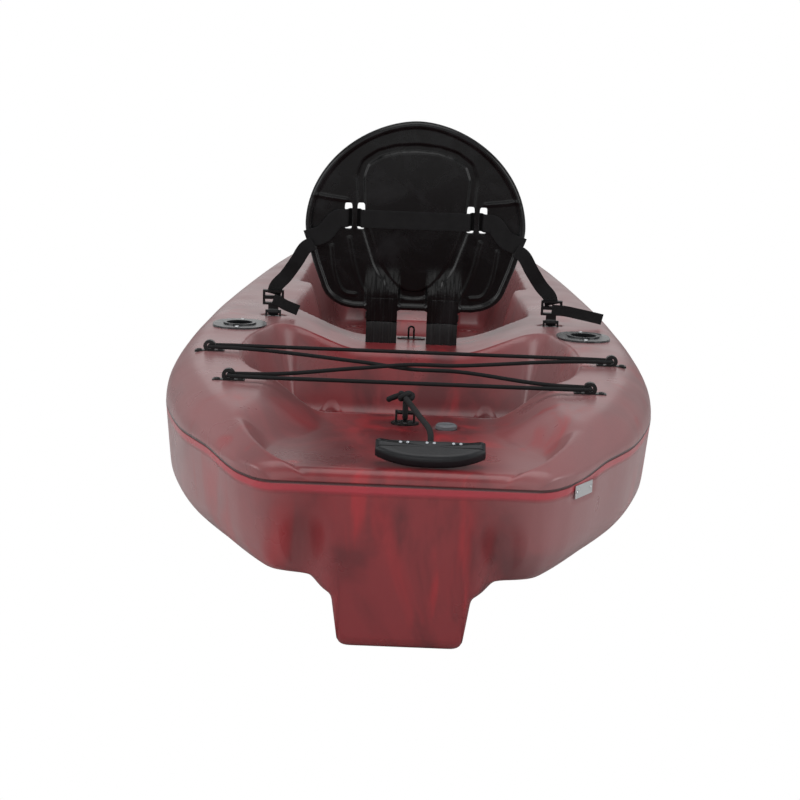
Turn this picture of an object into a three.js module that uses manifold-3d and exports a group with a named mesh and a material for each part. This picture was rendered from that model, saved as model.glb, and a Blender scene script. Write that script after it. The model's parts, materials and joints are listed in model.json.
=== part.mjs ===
// A sit-on-top fishing kayak, moulded in one hollow shell, with its seat back, rod holders,
// bungee, carrying handle, hatch and plugs as separate pieces.
// Lengths are in millimetres. X is across (starboard is +X), Y runs from stern to bow, Z is up.
// The keel rests on z = 0 and the origin is on the keel at half length.

import * as THREE from 'three';
import Module from 'manifold-3d';
import { mergeVertices } from 'three/addons/utils/BufferGeometryUtils.js';

const wasm = await Module();
wasm.setup();

// Driving sizes of the hull
const length = 3048;
const beam = 787;
const wall = 5;
const seamHeight = 230;
const deckRise = 68;
const shoulderWidth = 62;
const keelHalfWidth = 80;
const keelEdge = 8;
const keelDraft = 10;
const bilgeWidth = 120;
const bilgeHeight = 105;
const tumblehome = 8;
const skegRake = 8;
const skegRakeHeight = 140;
const sternFade = 210;
const fluteDepth = 30;
const fluteTop = 212;
const fluteWidth = 96;
const running = 0.4;
const seating = 0.3;
const overrun = 60;
// How far bodies that are joined into one run into each other
const bite = 2;

const halfBeam = beam / 2;
const sternY = -length / 2;

// Profiles along the hull: each pair is a share of the length from the stern and a share of a size
const planShares = [
  [0, 0.457], [0.0066, 0.508], [0.0145, 0.56], [0.046, 0.686], [0.079, 0.8], [0.125, 0.895],
  [0.148, 0.93], [0.197, 0.973], [0.246, 0.991], [0.312, 1], [0.377, 1], [0.443, 0.99],
  [0.525, 0.97], [0.623, 0.93], [0.722, 0.862], [0.804, 0.735], [0.869, 0.6], [0.919, 0.455],
  [0.958, 0.31], [0.984, 0.183], [0.994, 0.11], [1, 0.02],
];
const seamShares = [[0, 1], [0.5, 1.01], [0.8, 1.09], [1, 1.27]];
const edgeRiseShares = [
  [0, 0.1], [0.033, 0.5], [0.082, 0.78], [0.131, 0.88], [0.3, 1], [0.5, 1.02], [0.72, 1], [1, 0.95],
];
const centreRiseShares = [
  [0, 0.04], [0.109, 0.19], [0.295, 0.37], [0.348, 0.41], [0.5, 0.5], [0.7, 0.9], [0.78, 1.2],
  [0.9, 1.2], [1, 1],
];
const troughInnerShares = [
  [0, 0.5], [0.038, 0.45], [0.08, 0.3], [0.109, 0.3], [0.295, 0.2], [0.6, 0.2], [1, 0.05],
];
const troughOuterShares = [[0, 0.56], [0.038, 0.6], [0.08, 0.55], [0.109, 0.55], [0.295, 0.61], [1, 0.5]];
const keelWidthShares = [[0, 1], [0.03, 0.95], [0.12, 0.78], [0.3, 0.68], [0.6, 0.62], [0.85, 0.33], [1, 0.05]];
const keelRiseShares = [[0, 0], [0.78, 0], [0.86, 0.1], [0.92, 0.27], [0.968, 0.52], [0.994, 0.83], [1, 1.08]];
const channelRiseShares = [[0, 0.31], [0.1, 0.17], [0.3, 0.14], [0.7, 0.15], [0.86, 0.28], [0.96, 0.6], [1, 1.12]];
const chineRiseShares = [
  [0, 0.38], [0.08, 0.33], [0.3, 0.135], [0.6, 0.1], [0.78, 0.2], [0.9, 0.5], [1, 1.16],
];

// Smooth curve through pairs of shares, with no overshoot between them
function follow(pairs, at) {
  const last = pairs.length - 1;
  if (at <= pairs[0][0]) return pairs[0][1];
  if (at >= pairs[last][0]) return pairs[last][1];
  const slope = (i) => (pairs[i + 1][1] - pairs[i][1]) / (pairs[i + 1][0] - pairs[i][0]);
  const tangent = (i) => {
    if (i === 0) return slope(0);
    if (i === last) return slope(last - 1);
    const before = slope(i - 1);
    const after = slope(i);
    return before * after <= 0 ? 0 : (2 * before * after) / (before + after);
  };
  let i = 0;
  while (pairs[i + 1][0] < at) i += 1;
  const span = pairs[i + 1][0] - pairs[i][0];
  const t = (at - pairs[i][0]) / span;
  const rise = t * t * (3 - 2 * t);
  const bend = (t * t * t - 2 * t * t + t) * tangent(i) + (t * t * t - t * t) * tangent(i + 1);
  return pairs[i][1] * (1 - rise) + pairs[i + 1][1] * rise + bend * span;
}

function smooth(from, to, at) {
  const t = Math.min(Math.max((at - from) / (to - from), 0), 1);
  return t * t * (3 - 2 * t);
}

const shareAt = (y) => (y - sternY) / length;
const yAt = (share) => sternY + share * length;
const halfWidthAt = (share) => follow(planShares, share) * halfBeam;
const seamAt = (share) => follow(seamShares, share) * seamHeight;

// Height of the deck before the wells are sunk in it: a shallow trough between two side decks,
// with a quarter-ellipse shoulder down to the seam
function deckAt(x, y) {
  const share = shareAt(y);
  const width = halfWidthAt(share);
  const shoulder = Math.min(shoulderWidth, width * 0.6);
  const seam = seamAt(share);
  const outer = Math.min(follow(troughOuterShares, share) * halfBeam, width - shoulder * 0.6);
  const inner = Math.min(follow(troughInnerShares, share) * halfBeam, outer * 0.9);
  const centre = follow(centreRiseShares, share) * deckRise;
  const edge = follow(edgeRiseShares, share) * deckRise;
  const top = centre + (edge - centre) * smooth(inner, outer, Math.abs(x));
  const inward = Math.min(Math.max((width - Math.abs(x)) / shoulder, 0), 1);
  return seam + top * Math.sqrt(1 - (1 - inward) ** 2);
}

// Pushes the stern end forward: the skeg's raked foot, and a flute on each side of it
function sternPush(x, y, z) {
  const fade = 1 - smooth(0, sternFade, y - sternY);
  const foot = 1 - smooth(0, skegRakeHeight, z);
  const across = (Math.abs(x) - keelHalfWidth) / fluteWidth;
  const flute = across > 0 && across < 1 ? Math.sin(Math.PI * across) ** 2 : 0;
  const depth = (1 - smooth(skegRakeHeight, fluteTop, z)) * flute;
  return fade * (skegRake * foot * (across > 0 ? 0.5 : 1) + fluteDepth * depth);
}

// One station of the hull, as points across the bottom and points across the deck.
// An inset shrinks it on every side, for the hollow inside the shell.
function station(share, inset) {
  const width = halfWidthAt(share) - inset;
  const seam = seamAt(share) - inset;
  const keel = Math.min(keelHalfWidth * follow(keelWidthShares, share), width * 0.5) - inset;
  const keelZ = follow(keelRiseShares, share) * seamHeight + inset;
  const channelZ = Math.max(follow(channelRiseShares, share) * seamHeight + inset, keelZ + keelEdge);
  const chineZ = follow(chineRiseShares, share) * seamHeight + inset;
  const bilgeRun = Math.min(bilgeWidth, (width - keel) * 0.5);
  const bilgeRise = Math.min(bilgeHeight, (seam - chineZ) * 0.5);
  const sideX = width - Math.min(tumblehome, width * 0.1);
  const roofStart = keel + keelDraft;
  const flatStart = roofStart + (sideX - bilgeRun - roofStart) * 0.45;
  const bottom = [
    [0, keelZ], [keel - keelEdge, keelZ], [keel, keelZ + keelEdge / 2], [roofStart, channelZ],
    [roofStart + (flatStart - roofStart) * 0.4, channelZ],
    [flatStart, chineZ + (channelZ - chineZ) * 0.6],
    [flatStart + (sideX - bilgeRun - flatStart) * 0.5, chineZ],
  ];
  for (const turn of [0, 0.25, 0.5, 0.75, 1]) {
    const angle = turn * Math.PI / 2;
    bottom.push([sideX - bilgeRun * (1 - Math.sin(angle)), chineZ + bilgeRise * (1 - Math.cos(angle))]);
  }
  bottom.push([width, seam]);

  const fullWidth = width + inset;
  const shoulder = Math.min(shoulderWidth, fullWidth * 0.6);
  const outer = Math.min(follow(troughOuterShares, share) * halfBeam, fullWidth - shoulder * 0.6);
  const inner = Math.min(follow(troughInnerShares, share) * halfBeam, outer * 0.9);
  const deckX = [0, inner * 0.5, inner, inner + (outer - inner) * 0.35, inner + (outer - inner) * 0.65];
  const rest = fullWidth - shoulder;
  deckX.push(Math.min(outer, rest + shoulder * 0.02), rest + shoulder * 0.06);
  for (const turn of [0.22, 0.4, 0.58, 0.76, 0.92]) deckX.push(rest + shoulder * Math.sin(turn * Math.PI / 2));
  const y = yAt(share);
  const scale = width / fullWidth;
  // For the hollow, the lowest deck within a wall's reach, so that no narrow rise is cut through
  const reach = inset > 0 ? [-inset, 0, inset] : [0];
  const lowest = (x) => Math.min(...reach.flatMap((dx) => reach.map((dy) => deckAt(x + dx, y + dy))));
  const deck = deckX.map((x) => [x * scale, lowest(x * scale) - inset]);
  deck.push([width, seam]);
  return { bottom, deck };
}

const capRows = 5;
const spread = (half) => [...half.slice(1).reverse().map(([x, z]) => [-x, z]), ...half];

// The hull's skin as loose triangles: a closed ring at each station and a grid over each end
function hullSkin(shares, inset) {
  const place = (share) => ([x, z]) => {
    const y = yAt(share);
    return new THREE.Vector3(x, y + sternPush(x, y, z - inset), z);
  };
  const rings = [];
  const ends = [];
  for (const share of shares) {
    const { bottom, deck } = station(share, inset);
    const low = spread(bottom).map(place(share));
    const high = spread(deck).map(place(share));
    rings.push([...low, ...high.slice(1, -1).reverse(), low[0]]);
    ends.push({ share, bottom: spread(bottom), deck: spread(deck) });
  }
  const cap = ({ share, bottom, deck }) => bottom.map(([x, z], i) => {
    const column = [];
    for (let row = 0; row <= capRows; row += 1) {
      const t = row / capRows;
      const flat = [x + (deck[i][0] - x) * t, z + (deck[i][1] - z) * t];
      column.push(row === 0 || row === capRows ? place(share)(row ? deck[i] : [x, z]) : place(share)(flat));
    }
    return column;
  });
  const corners = [];
  addGrid(corners, rings, true);
  addGrid(corners, cap(ends[0]), true);
  addGrid(corners, cap(ends[ends.length - 1]), false);
  return new THREE.BufferGeometry().setFromPoints(corners);
}

function addGrid(corners, rows, flipped) {
  for (let i = 0; i + 1 < rows.length; i += 1) {
    for (let j = 0; j + 1 < rows[i].length; j += 1) {
      const [a, b, c, d] = [rows[i][j], rows[i][j + 1], rows[i + 1][j + 1], rows[i + 1][j]];
      if (flipped) corners.push(a, c, b, a, d, c);
      else corners.push(a, b, c, a, c, d);
    }
  }
}

const weld = 0.002;

function toSolid(geometry) {
  const bare = geometry.index ? geometry.toNonIndexed() : geometry.clone();
  bare.deleteAttribute('normal');
  bare.deleteAttribute('uv');
  const merged = mergeVertices(bare, weld);
  const corners = Array.from(merged.index.array);
  const whole = [];
  for (let i = 0; i < corners.length; i += 3) {
    const [a, b, c] = corners.slice(i, i + 3);
    if (a !== b && b !== c && c !== a) whole.push(a, b, c);
  }
  const solid = new wasm.Manifold(new wasm.Mesh({
    numProp: 3, vertProperties: merged.attributes.position.array, triVerts: new Uint32Array(whole),
  }));
  return solid;
}

// Faces thinner than this are merged away after the cuts
const finest = 0.05;

// The largest body of a solid as geometry: crumbs that the cuts leave are dropped
function toGeometry(solid) {
  const bodies = solid.asOriginal().simplify(finest).decompose();
  const [largest] = bodies.sort((a, b) => b.volume() - a.volume());
  const { vertProperties, triVerts } = largest.getMesh();
  const geometry = new THREE.BufferGeometry();
  geometry.setAttribute('position', new THREE.BufferAttribute(new Float32Array(vertProperties), 3));
  geometry.setIndex(new THREE.BufferAttribute(new Uint32Array(triVerts), 1));
  return geometry;
}

const joined = (first, ...others) => others.reduce((sum, each) => sum.add(each), first);
const cut = (first, ...others) => others.reduce((sum, each) => sum.subtract(each), first);
const sides = [{ name: 'left', sign: -1 }, { name: 'right', sign: 1 }];

// Plain shapes as solids, with their axis on Z
const moved = (geometry, x, y, z) => geometry.translate(x, y, z);
const boxAt = (x, y, z, wide, deep, high) => moved(new THREE.BoxGeometry(wide, deep, high), x, y, z);
function rod(radius, low, high, around = 16) {
  const geometry = new THREE.CylinderGeometry(radius, radius, high - low, around);
  return geometry.rotateX(Math.PI / 2).translate(0, 0, (high + low) / 2);
}
function turned(profile, around = 16) {
  const points = profile.map(([r, z]) => new THREE.Vector2(r, z));
  return new THREE.LatheGeometry(points, around).rotateX(Math.PI / 2);
}
function plate(points, low, high, holes = []) {
  const shape = new THREE.Shape(points.map(([x, y]) => new THREE.Vector2(x, y)));
  for (const hole of holes) shape.holes.push(new THREE.Path(hole.map(([x, y]) => new THREE.Vector2(x, y))));
  const geometry = new THREE.ExtrudeGeometry(shape, { depth: high - low, bevelEnabled: false });
  return geometry.translate(0, 0, low);
}
function oval(halfX, halfY, count, power = 2) {
  return Array.from({ length: count }, (_, i) => {
    const angle = (2 * Math.PI * i) / count;
    const [c, d] = [Math.cos(angle), Math.sin(angle)];
    const bend = (v) => Math.sign(v) * Math.abs(v) ** (2 / power);
    return [halfX * bend(c), halfY * bend(d)];
  });
}
function boxOutline(halfX, halfY) {
  return [[-halfX, -halfY], [halfX, -halfY], [halfX, halfY], [-halfX, halfY]];
}

// A tube with a ring of points at each point of its route. A closed route joins its last ring to its first.
function tube(route, radius, around, closed = false) {
  const count = route.length;
  const at = (i) => route[closed ? (i + count) % count : Math.min(Math.max(i, 0), count - 1)];
  const tangents = route.map((_, i) => at(i + 1).clone().sub(at(i - 1)).normalize());
  const steep = Math.abs(tangents[0].z) > 0.9;
  const guide = steep ? new THREE.Vector3(1, 0, 0) : new THREE.Vector3(0, 0, 1);
  const sideways = [guide.projectOnPlane(tangents[0]).normalize()];
  for (let i = 1; i < count; i += 1) {
    sideways.push(sideways[i - 1].clone().projectOnPlane(tangents[i]).normalize());
  }
  const first = sideways[0];
  let twist = 0;
  if (closed) {
    const back = sideways[count - 1].clone().projectOnPlane(tangents[0]).normalize();
    twist = Math.atan2(back.clone().cross(first).dot(tangents[0]), back.dot(first));
  }
  const rings = route.map((point, i) => {
    const ring = [];
    for (let k = 0; k <= around; k += 1) {
      const angle = (2 * Math.PI * (k % around)) / around + (twist * i) / count;
      const side = sideways[i].clone().applyAxisAngle(tangents[i], angle);
      ring.push(point.clone().addScaledVector(side, radius));
    }
    return ring;
  });
  const corners = [];
  if (closed) rings.push(rings[0]);
  addGrid(corners, rings, false);
  if (!closed) {
    addGrid(corners, [rings[0], rings[0].map(() => route[0])], true);
    addGrid(corners, [rings[count - 1], rings[count - 1].map(() => route[count - 1])], false);
  }
  return new THREE.BufferGeometry().setFromPoints(corners);
}

// Wells sunk in the deck. Start and end are measured from the stern, widths are shares of the half
// width along the well, and draft is how far a wall leans in for each unit of depth.
const tankWell = {
  centre: 0, half: 266, start: 333, end: 885, floor: 150, corner: 36, draft: 0.26,
  widthShares: [
    [0, 0.57], [0.05, 0.7], [0.176, 0.875], [0.34, 0.962], [0.51, 1], [0.7, 0.985], [0.846, 0.93], [1, 0.86],
  ],
};
const seatWell = {
  centre: 0, half: 222, start: 1066, end: 1610, floor: 140, corner: 60, draft: 0.24,
  widthShares: [[0, 0.86], [0.12, 0.97], [0.3, 1], [1, 0.95]],
};
const legWell = {
  centre: 148, half: 96, start: 1545, end: 2360, floor: 118, corner: 62, draft: 0.2,
  widthShares: [[0, 1], [0.5, 1], [1, 0.8]],
};
const spineWell = {
  centre: 0, half: 62, start: 1590, end: 2250, floor: 222, corner: 24, draft: 0.1,
  widthShares: [[0, 1], [1, 0.9]],
};
const outlineSteps = [0, 0.012, 0.045, 0.1, 0.18, 0.34, 0.52, 0.7, 0.84, 0.93, 0.985, 1];

// The most of a well's half width that a corner may round off
const cornerShare = 0.8;
function wellOutline(well, grow, sign) {
  const start = well.start - grow;
  const end = well.end + grow;
  const narrowest = well.half * Math.min(...well.widthShares.map((pair) => pair[1])) + grow;
  const corner = Math.min(well.corner + Math.max(grow, 0), narrowest * cornerShare);
  const inset = (from) => {
    const left = Math.min(Math.max(corner - from, 0), corner);
    return corner - Math.sqrt(corner ** 2 - left ** 2);
  };
  const side = outlineSteps.map((step) => {
    const along = start + (end - start) * step;
    const half = well.half * follow(well.widthShares, step) + grow;
    return [half - inset(along - start) - inset(end - along), along + sternY];
  });
  const right = side.map(([half, y]) => [sign * well.centre + half, y]);
  const left = side.map(([half, y]) => [sign * well.centre - half, y]);
  return [...right, ...left.reverse()];
}

// The space of a well as a solid, from its floor to above the deck
const wellTop = 420;
const rimHeight = 290;
function wellSolid(well, sign, grow, floorDrop) {
  const floor = well.floor - floorDrop;
  const low = wellOutline(well, grow - well.draft * (rimHeight - floor), sign);
  const high = wellOutline(well, grow + well.draft * (wellTop - rimHeight), sign);
  const corners = [];
  const lift = (points, z) => points.map(([x, y]) => new THREE.Vector3(x, y, z));
  const lowRing = lift(low, floor);
  const highRing = lift(high, wellTop);
  addGrid(corners, [[...lowRing, lowRing[0]], [...highRing, highRing[0]]], false);
  for (const [ring, flipped] of [[lowRing, true], [highRing, false]]) {
    const flat = ring.map((point) => new THREE.Vector2(point.x, point.y));
    for (const [a, b, c] of THREE.ShapeUtils.triangulateShape(flat, [])) {
      if (flipped) corners.push(ring[a], ring[c], ring[b]);
      else corners.push(ring[a], ring[b], ring[c]);
    }
  }
  return toSolid(new THREE.BufferGeometry().setFromPoints(corners));
}
const wellList = [[tankWell, 1], [seatWell, 1], [legWell, 1], [legWell, -1], [spineWell, 1]];

// A frame on the deck: origin sunk a little below it, Z along its normal
function deckFrame(x, fromStern, sunk) {
  const y = fromStern + sternY;
  const step = shoulderWidth / 8;
  const slopeX = (deckAt(x + step, y) - deckAt(x - step, y)) / (2 * step);
  const slopeY = (deckAt(x, y + step) - deckAt(x, y - step)) / (2 * step);
  const normal = new THREE.Vector3(-slopeX, -slopeY, 1).normalize();
  const acrossX = new THREE.Vector3(1, 0, slopeX).normalize();
  const along = normal.clone().cross(acrossX).normalize();
  const origin = new THREE.Vector3(x, y, deckAt(x, y)).addScaledVector(normal, -sunk);
  return new THREE.Matrix4().makeBasis(acrossX, along, normal).setPosition(origin);
}

const part = new THREE.Group();
const colours = {
  hull: new THREE.MeshStandardMaterial({ color: 0x6a2530, roughness: 0.42, metalness: 0 }),
  black: new THREE.MeshStandardMaterial({ color: 0x17181a, roughness: 0.5, metalness: 0 }),
  grey: new THREE.MeshStandardMaterial({ color: 0x5b5e63, roughness: 0.5, metalness: 0 }),
  rubber: new THREE.MeshStandardMaterial({ color: 0x101012, roughness: 0.8, metalness: 0 }),
  webbing: new THREE.MeshStandardMaterial({ color: 0x121214, roughness: 0.9, metalness: 0 }),
  steel: new THREE.MeshStandardMaterial({ color: 0xb4b6b8, roughness: 0.3, metalness: 1 }),
};
function addPiece(name, geometry, material, matrix) {
  const mesh = new THREE.Mesh(geometry, material);
  mesh.name = name;
  if (matrix) mesh.applyMatrix4(matrix);
  part.add(mesh);
}

// Everything that is cut out of the hull, gathered as the fittings are placed
const hullCuts = [];
const sinkCut = (geometry, matrix) => hullCuts.push(toSolid(geometry.applyMatrix4(matrix)));

// Screws, with a domed head above the seat and a shank that reaches into the deck
const screwHead = 4.4;
const screwHeadHeight = 2;
const screwShank = 2;
const screwLength = 9;
function addScrew(name, frame, x, y, seat, material = colours.steel) {
  const under = seat + seating;
  const profile = [
    [0, under - screwLength], [screwShank, under - screwLength], [screwShank, under], [screwHead, under],
    [screwHead * 0.8, under + screwHeadHeight * 0.7], [0, under + screwHeadHeight],
  ];
  addPiece(name, turned(profile, 8).translate(x, y, 0), material, frame);
  const hole = rod(screwShank + running, -screwLength - wall, screwShank, 6).translate(x, y, 0);
  sinkCut(hole, frame);
}

// Bungee pad eyes on the side decks beside the tank well
const eyeSunk = 2;
const eyeHalfLength = 23;
const eyeHalfDepth = 6;
const eyeBase = 3.2;
const eyeHole = 4.3;
const eyeRing = 9.6;
const eyeCentre = 9.4;
const eyeScrewX = 16.5;
const eyeFrontShare = 0.798;
const eyeRearShare = 0.6556;
const eyeFrontFromStern = 555;
const eyeRearFromStern = 322;
const eyePlaces = [
  { name: 'front_left', sign: -1, x: halfBeam * eyeFrontShare, fromStern: eyeFrontFromStern },
  { name: 'front_right', sign: 1, x: halfBeam * eyeFrontShare, fromStern: eyeFrontFromStern },
  { name: 'rear_left', sign: -1, x: halfBeam * eyeRearShare, fromStern: eyeRearFromStern },
  { name: 'rear_right', sign: 1, x: halfBeam * eyeRearShare, fromStern: eyeRearFromStern },
];
const eyeHoles = {};
for (const { name, sign, x, fromStern } of eyePlaces) {
  const frame = deckFrame(sign * x, fromStern, eyeSunk);
  const stand = (geometry) => toSolid(geometry.rotateX(Math.PI / 2));
  const base = stand(plate(boxOutline(eyeHalfLength, eyeBase / 2), -eyeHalfDepth, eyeHalfDepth)
    .translate(0, eyeBase / 2, 0));
  const ring = stand(plate(oval(eyeRing, eyeRing, 16), -eyeHalfDepth * 0.75, eyeHalfDepth * 0.75)
    .translate(0, eyeCentre, 0));
  const below = toSolid(boxAt(0, 0, -eyeRing / 2, 3 * eyeRing, 3 * eyeRing, eyeRing));
  const bore = stand(rod(eyeHole, -overrun, overrun).translate(0, eyeCentre, 0));
  let eye = cut(joined(base, ring), below, bore);
  for (const end of [-1, 1]) {
    const hole = rod(screwShank + running, -eyeBase, 3 * eyeBase, 8);
    eye = cut(eye, toSolid(hole.translate(end * eyeScrewX, 0, 0)));
  }
  eye = cut(eye, toSolid(boxAt(0, 0, -eyeBase / 2, 4 * eyeHalfLength, 4 * eyeHalfDepth, eyeBase + 2 * seating)));
  addPiece('bungee_eye_' + name, toGeometry(eye), colours.black, frame);
  sinkCut(plate(boxOutline(eyeHalfLength + running, eyeHalfDepth + running), 0, overrun), frame.clone());
  const seat = eyeBase;
  addScrew('eye_screw_outer_' + name, frame, sign * eyeScrewX, 0, seat, colours.black);
  addScrew('eye_screw_inner_' + name, frame, -sign * eyeScrewX, 0, seat, colours.black);
  eyeHoles[name] = new THREE.Vector3(0, 0, eyeCentre).applyMatrix4(frame);
}

// One loop of elastic cord: straight across front and rear, and crossed between them
const bungeeRadius = 3;
const bungeeTurnX = 13;
const bungeeTurnY = 12;
const bungeeRun = 40;
function turnRound(name, sign, fromFront) {
  const hole = eyeHoles[name];
  const way = fromFront ? 1 : -1;
  const steps = [
    [bungeeRun, 1.2], [bungeeTurnX, 1], [bungeeTurnX * 0.35, 0.82], [0, 0.45], [0, 0], [0, -0.45],
    [bungeeTurnX * 0.35, -0.82], [bungeeTurnX, -1], [bungeeRun, -1.2],
  ];
  return steps.map(([inward, along]) => hole.clone().add(
    new THREE.Vector3(-sign * inward, way * along * bungeeTurnY, 0),
  ));
}
const crossing = new THREE.Vector3(0, 0, 0);
for (const hole of Object.values(eyeHoles)) crossing.addScaledVector(hole, 1 / 4);
const crossOver = (height) => [-1, 0, 1].map((step) => ({ step, height: step === 0 ? height : 0 }));
function crossPoints(from, to, height) {
  return crossOver(height).map(({ step, height: lift }) => {
    const way = to.clone().sub(from).setZ(0).normalize();
    return crossing.clone().addScaledVector(way, step * bungeeRun * 2).add(new THREE.Vector3(0, 0, lift));
  });
}
const crossLift = bungeeRadius + seating;
const bungeeRoute = [
  ...turnRound('front_left', -1, false),
  ...turnRound('front_right', 1, true),
  ...crossPoints(eyeHoles.front_right, eyeHoles.rear_left, crossLift),
  ...turnRound('rear_left', -1, true),
  ...turnRound('rear_right', 1, false),
  ...crossPoints(eyeHoles.rear_right, eyeHoles.front_left, -crossLift),
];
addPiece('bungee', tube(bungeeRoute, bungeeRadius, 8, true), colours.rubber);

// Flush rod holders: an oval flange over a gasket, and a tube that leans down and forward
const holderShare = 0.7548;
const holderX = halfBeam * holderShare;
const holderFromStern = 838;
const holderSunk = 4;
const holderHalfX = 46;
const holderHalfY = 59;
const holderFlange = 5;
const gasketThick = 1.5;
const holderBore = 22.5;
const holderTubeWall = 3;
const holderLean = THREE.MathUtils.degToRad(24);
const holderDepth = 185;
const holderBottom = 4;
const holderScrewY = 47;
for (const { name, sign } of sides) {
  const frame = deckFrame(sign * holderX, holderFromStern, holderSunk);
  const lean = (geometry) => toSolid(geometry.rotateX(holderLean));
  const outer = holderBore + holderTubeWall;
  const seat = gasketThick + 2 * seating;
  const flange = toSolid(plate(oval(holderHalfX, holderHalfY, 24, 2.3), seat, seat + holderFlange));
  const lipTop = seat + holderFlange * 1.5;
  const lipHalf = outer + holderTubeWall;
  const lip = toSolid(plate(oval(lipHalf, lipHalf * 1.12, 20), seat, lipTop));
  const above = toSolid(boxAt(0, 0, lipTop + overrun, 4 * holderHalfX, 4 * holderHalfY, 2 * overrun));
  const tubeOuter = cut(lean(rod(outer, -holderDepth, overrun, 20)), above);
  let holder = joined(flange, lip, tubeOuter);
  holder = cut(holder, lean(rod(holderBore, holderBottom - holderDepth, 2 * overrun, 20)));
  for (const end of [-1, 1]) {
    const hole = rod(screwShank + running, -overrun, overrun, 8).translate(0, end * holderScrewY, 0);
    holder = cut(holder, toSolid(hole));
  }
  addPiece('rod_holder_' + name, toGeometry(holder), colours.black, frame);

  const gasketHole = oval(outer + running, (outer + running) * 1.14, 20);
  const screwHoles = [-1, 1].map((end) => oval(screwShank + running, screwShank + running, 8)
    .map(([x, y]) => [x, y + end * holderScrewY]));
  const gasketEdge = oval(holderHalfX, holderHalfY, 24, 2.3);
  const gasket = plate(gasketEdge, seating, seating + gasketThick, [gasketHole, ...screwHoles]);
  addPiece('rod_holder_gasket_' + name, gasket, colours.rubber, frame);
  sinkCut(plate(oval(holderHalfX + running, holderHalfY + running, 24, 2.3), 0, overrun), frame.clone());
  sinkCut(rod(outer + running, -overrun, overrun, 20).rotateX(holderLean), frame.clone());
  const top = seat + holderFlange;
  addScrew('holder_screw_front_' + name, frame, 0, holderScrewY, top);
  addScrew('holder_screw_rear_' + name, frame, 0, -holderScrewY, top);
}

// Drain plug in the stern deck, on its rubber washer
const drainX = 54;
const drainFromStern = 262;
const drainSunk = 3;
const drainHead = 15;
const drainHeadHeight = 6;
const drainShank = 9;
const drainShankLength = 14;
const drainSlot = 3;
const washerThick = 1.6;
const drainFrame = deckFrame(drainX, drainFromStern, drainSunk);
{
  const seat = washerThick + 2 * seating;
  const top = seat + drainHeadHeight;
  const profile = [
    [0, seat - drainShankLength], [drainShank, seat - drainShankLength], [drainShank, seat],
    [drainHead, seat], [drainHead, top - drainSlot / 2], [drainHead - drainSlot / 2, top], [0, top],
  ];
  const slot = boxAt(0, 0, top, 3 * drainHead, drainSlot, drainSlot * 1.6);
  const plug = cut(toSolid(turned(profile, 20)), toSolid(slot));
  addPiece('drain_plug', toGeometry(plug), colours.grey, drainFrame);
  const washer = plate(oval(drainHead, drainHead, 20), seating, seating + washerThick,
    [oval(drainShank + running, drainShank + running, 20)]);
  addPiece('drain_washer', washer, colours.rubber, drainFrame);
  sinkCut(rod(drainHead + running, 0, overrun, 20), drainFrame.clone());
  sinkCut(rod(drainShank + running, -overrun, overrun, 20), drainFrame.clone());
}

// Carrying handle eyes at stern and bow: an oval foot, two posts and a round bar across
const handleEyeX = -4;
const handleEyeFromStern = 278;
const bowEyeFromBow = 143;
const handleEyeSunk = 2.5;
const handleFootX = 20;
const handleFootY = 15;
const handleFoot = 5;
const handleBar = 3;
const handleBarHeight = 19;
const handlePostX = 12.5;
const handlePost = 3.2;
function barEye(name, frame, barHeight) {
  const foot = toSolid(plate(oval(handleFootX, handleFootY, 24), 0, handleFoot));
  const posts = [-1, 1].map((end) => toSolid(
    boxAt(end * handlePostX, 0, (barHeight + handleBar) / 2, handlePost, 2 * handlePost, barHeight + handleBar),
  ));
  const bar = toSolid(rod(handleBar, -handlePostX, handlePostX, 12).rotateY(Math.PI / 2).translate(0, 0, barHeight));
  let eye = joined(foot, ...posts, bar);
  for (const end of [-1, 1]) {
    const hole = rod(screwShank + running, -overrun, handleFoot * 2, 8);
    eye = cut(eye, toSolid(hole.translate(0, end * handleFootY * 0.62, 0)));
  }
  const lift = toSolid(boxAt(0, 0, 0, 4 * handleFootX, 4 * handleFootY, 2 * seating));
  addPiece(name, toGeometry(cut(eye, lift)), colours.black, frame);
  sinkCut(plate(oval(handleFootX + running, handleFootY + running, 24), 0, overrun), frame.clone());
  addScrew(name + '_screw_front', frame, 0, handleFootY * 0.62, handleFoot, colours.black);
  addScrew(name + '_screw_rear', frame, 0, -handleFootY * 0.62, handleFoot, colours.black);
}
const sternEyeFrame = deckFrame(handleEyeX, handleEyeFromStern, handleEyeSunk);
barEye('stern_eye', sternEyeFrame, handleBarHeight);
barEye('bow_eye', deckFrame(0, length - bowEyeFromBow, handleEyeSunk), handleBarHeight);

// The carrying handle: a rope looped round the stern eye's bar, knotted, and run into the grip.
// Its route is given from the bar's centre, in a frame square to the hull.
const ropeRadius = 4;
const ropeLoop = handleBar + ropeRadius + running;
const barCentre = new THREE.Vector3(0, 0, handleBarHeight).applyMatrix4(sternEyeFrame);
const knotHeight = 21;
const knotSize = [13, 10, 9];
const ropeAcross = 34;
const gripFront = -226;
const gripHeight = 0.5;
const gripTilt = THREE.MathUtils.degToRad(28);
const gripInset = 8;
const gripLead = 17;
const gripBore = 14;
const knotRise = 2;
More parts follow.
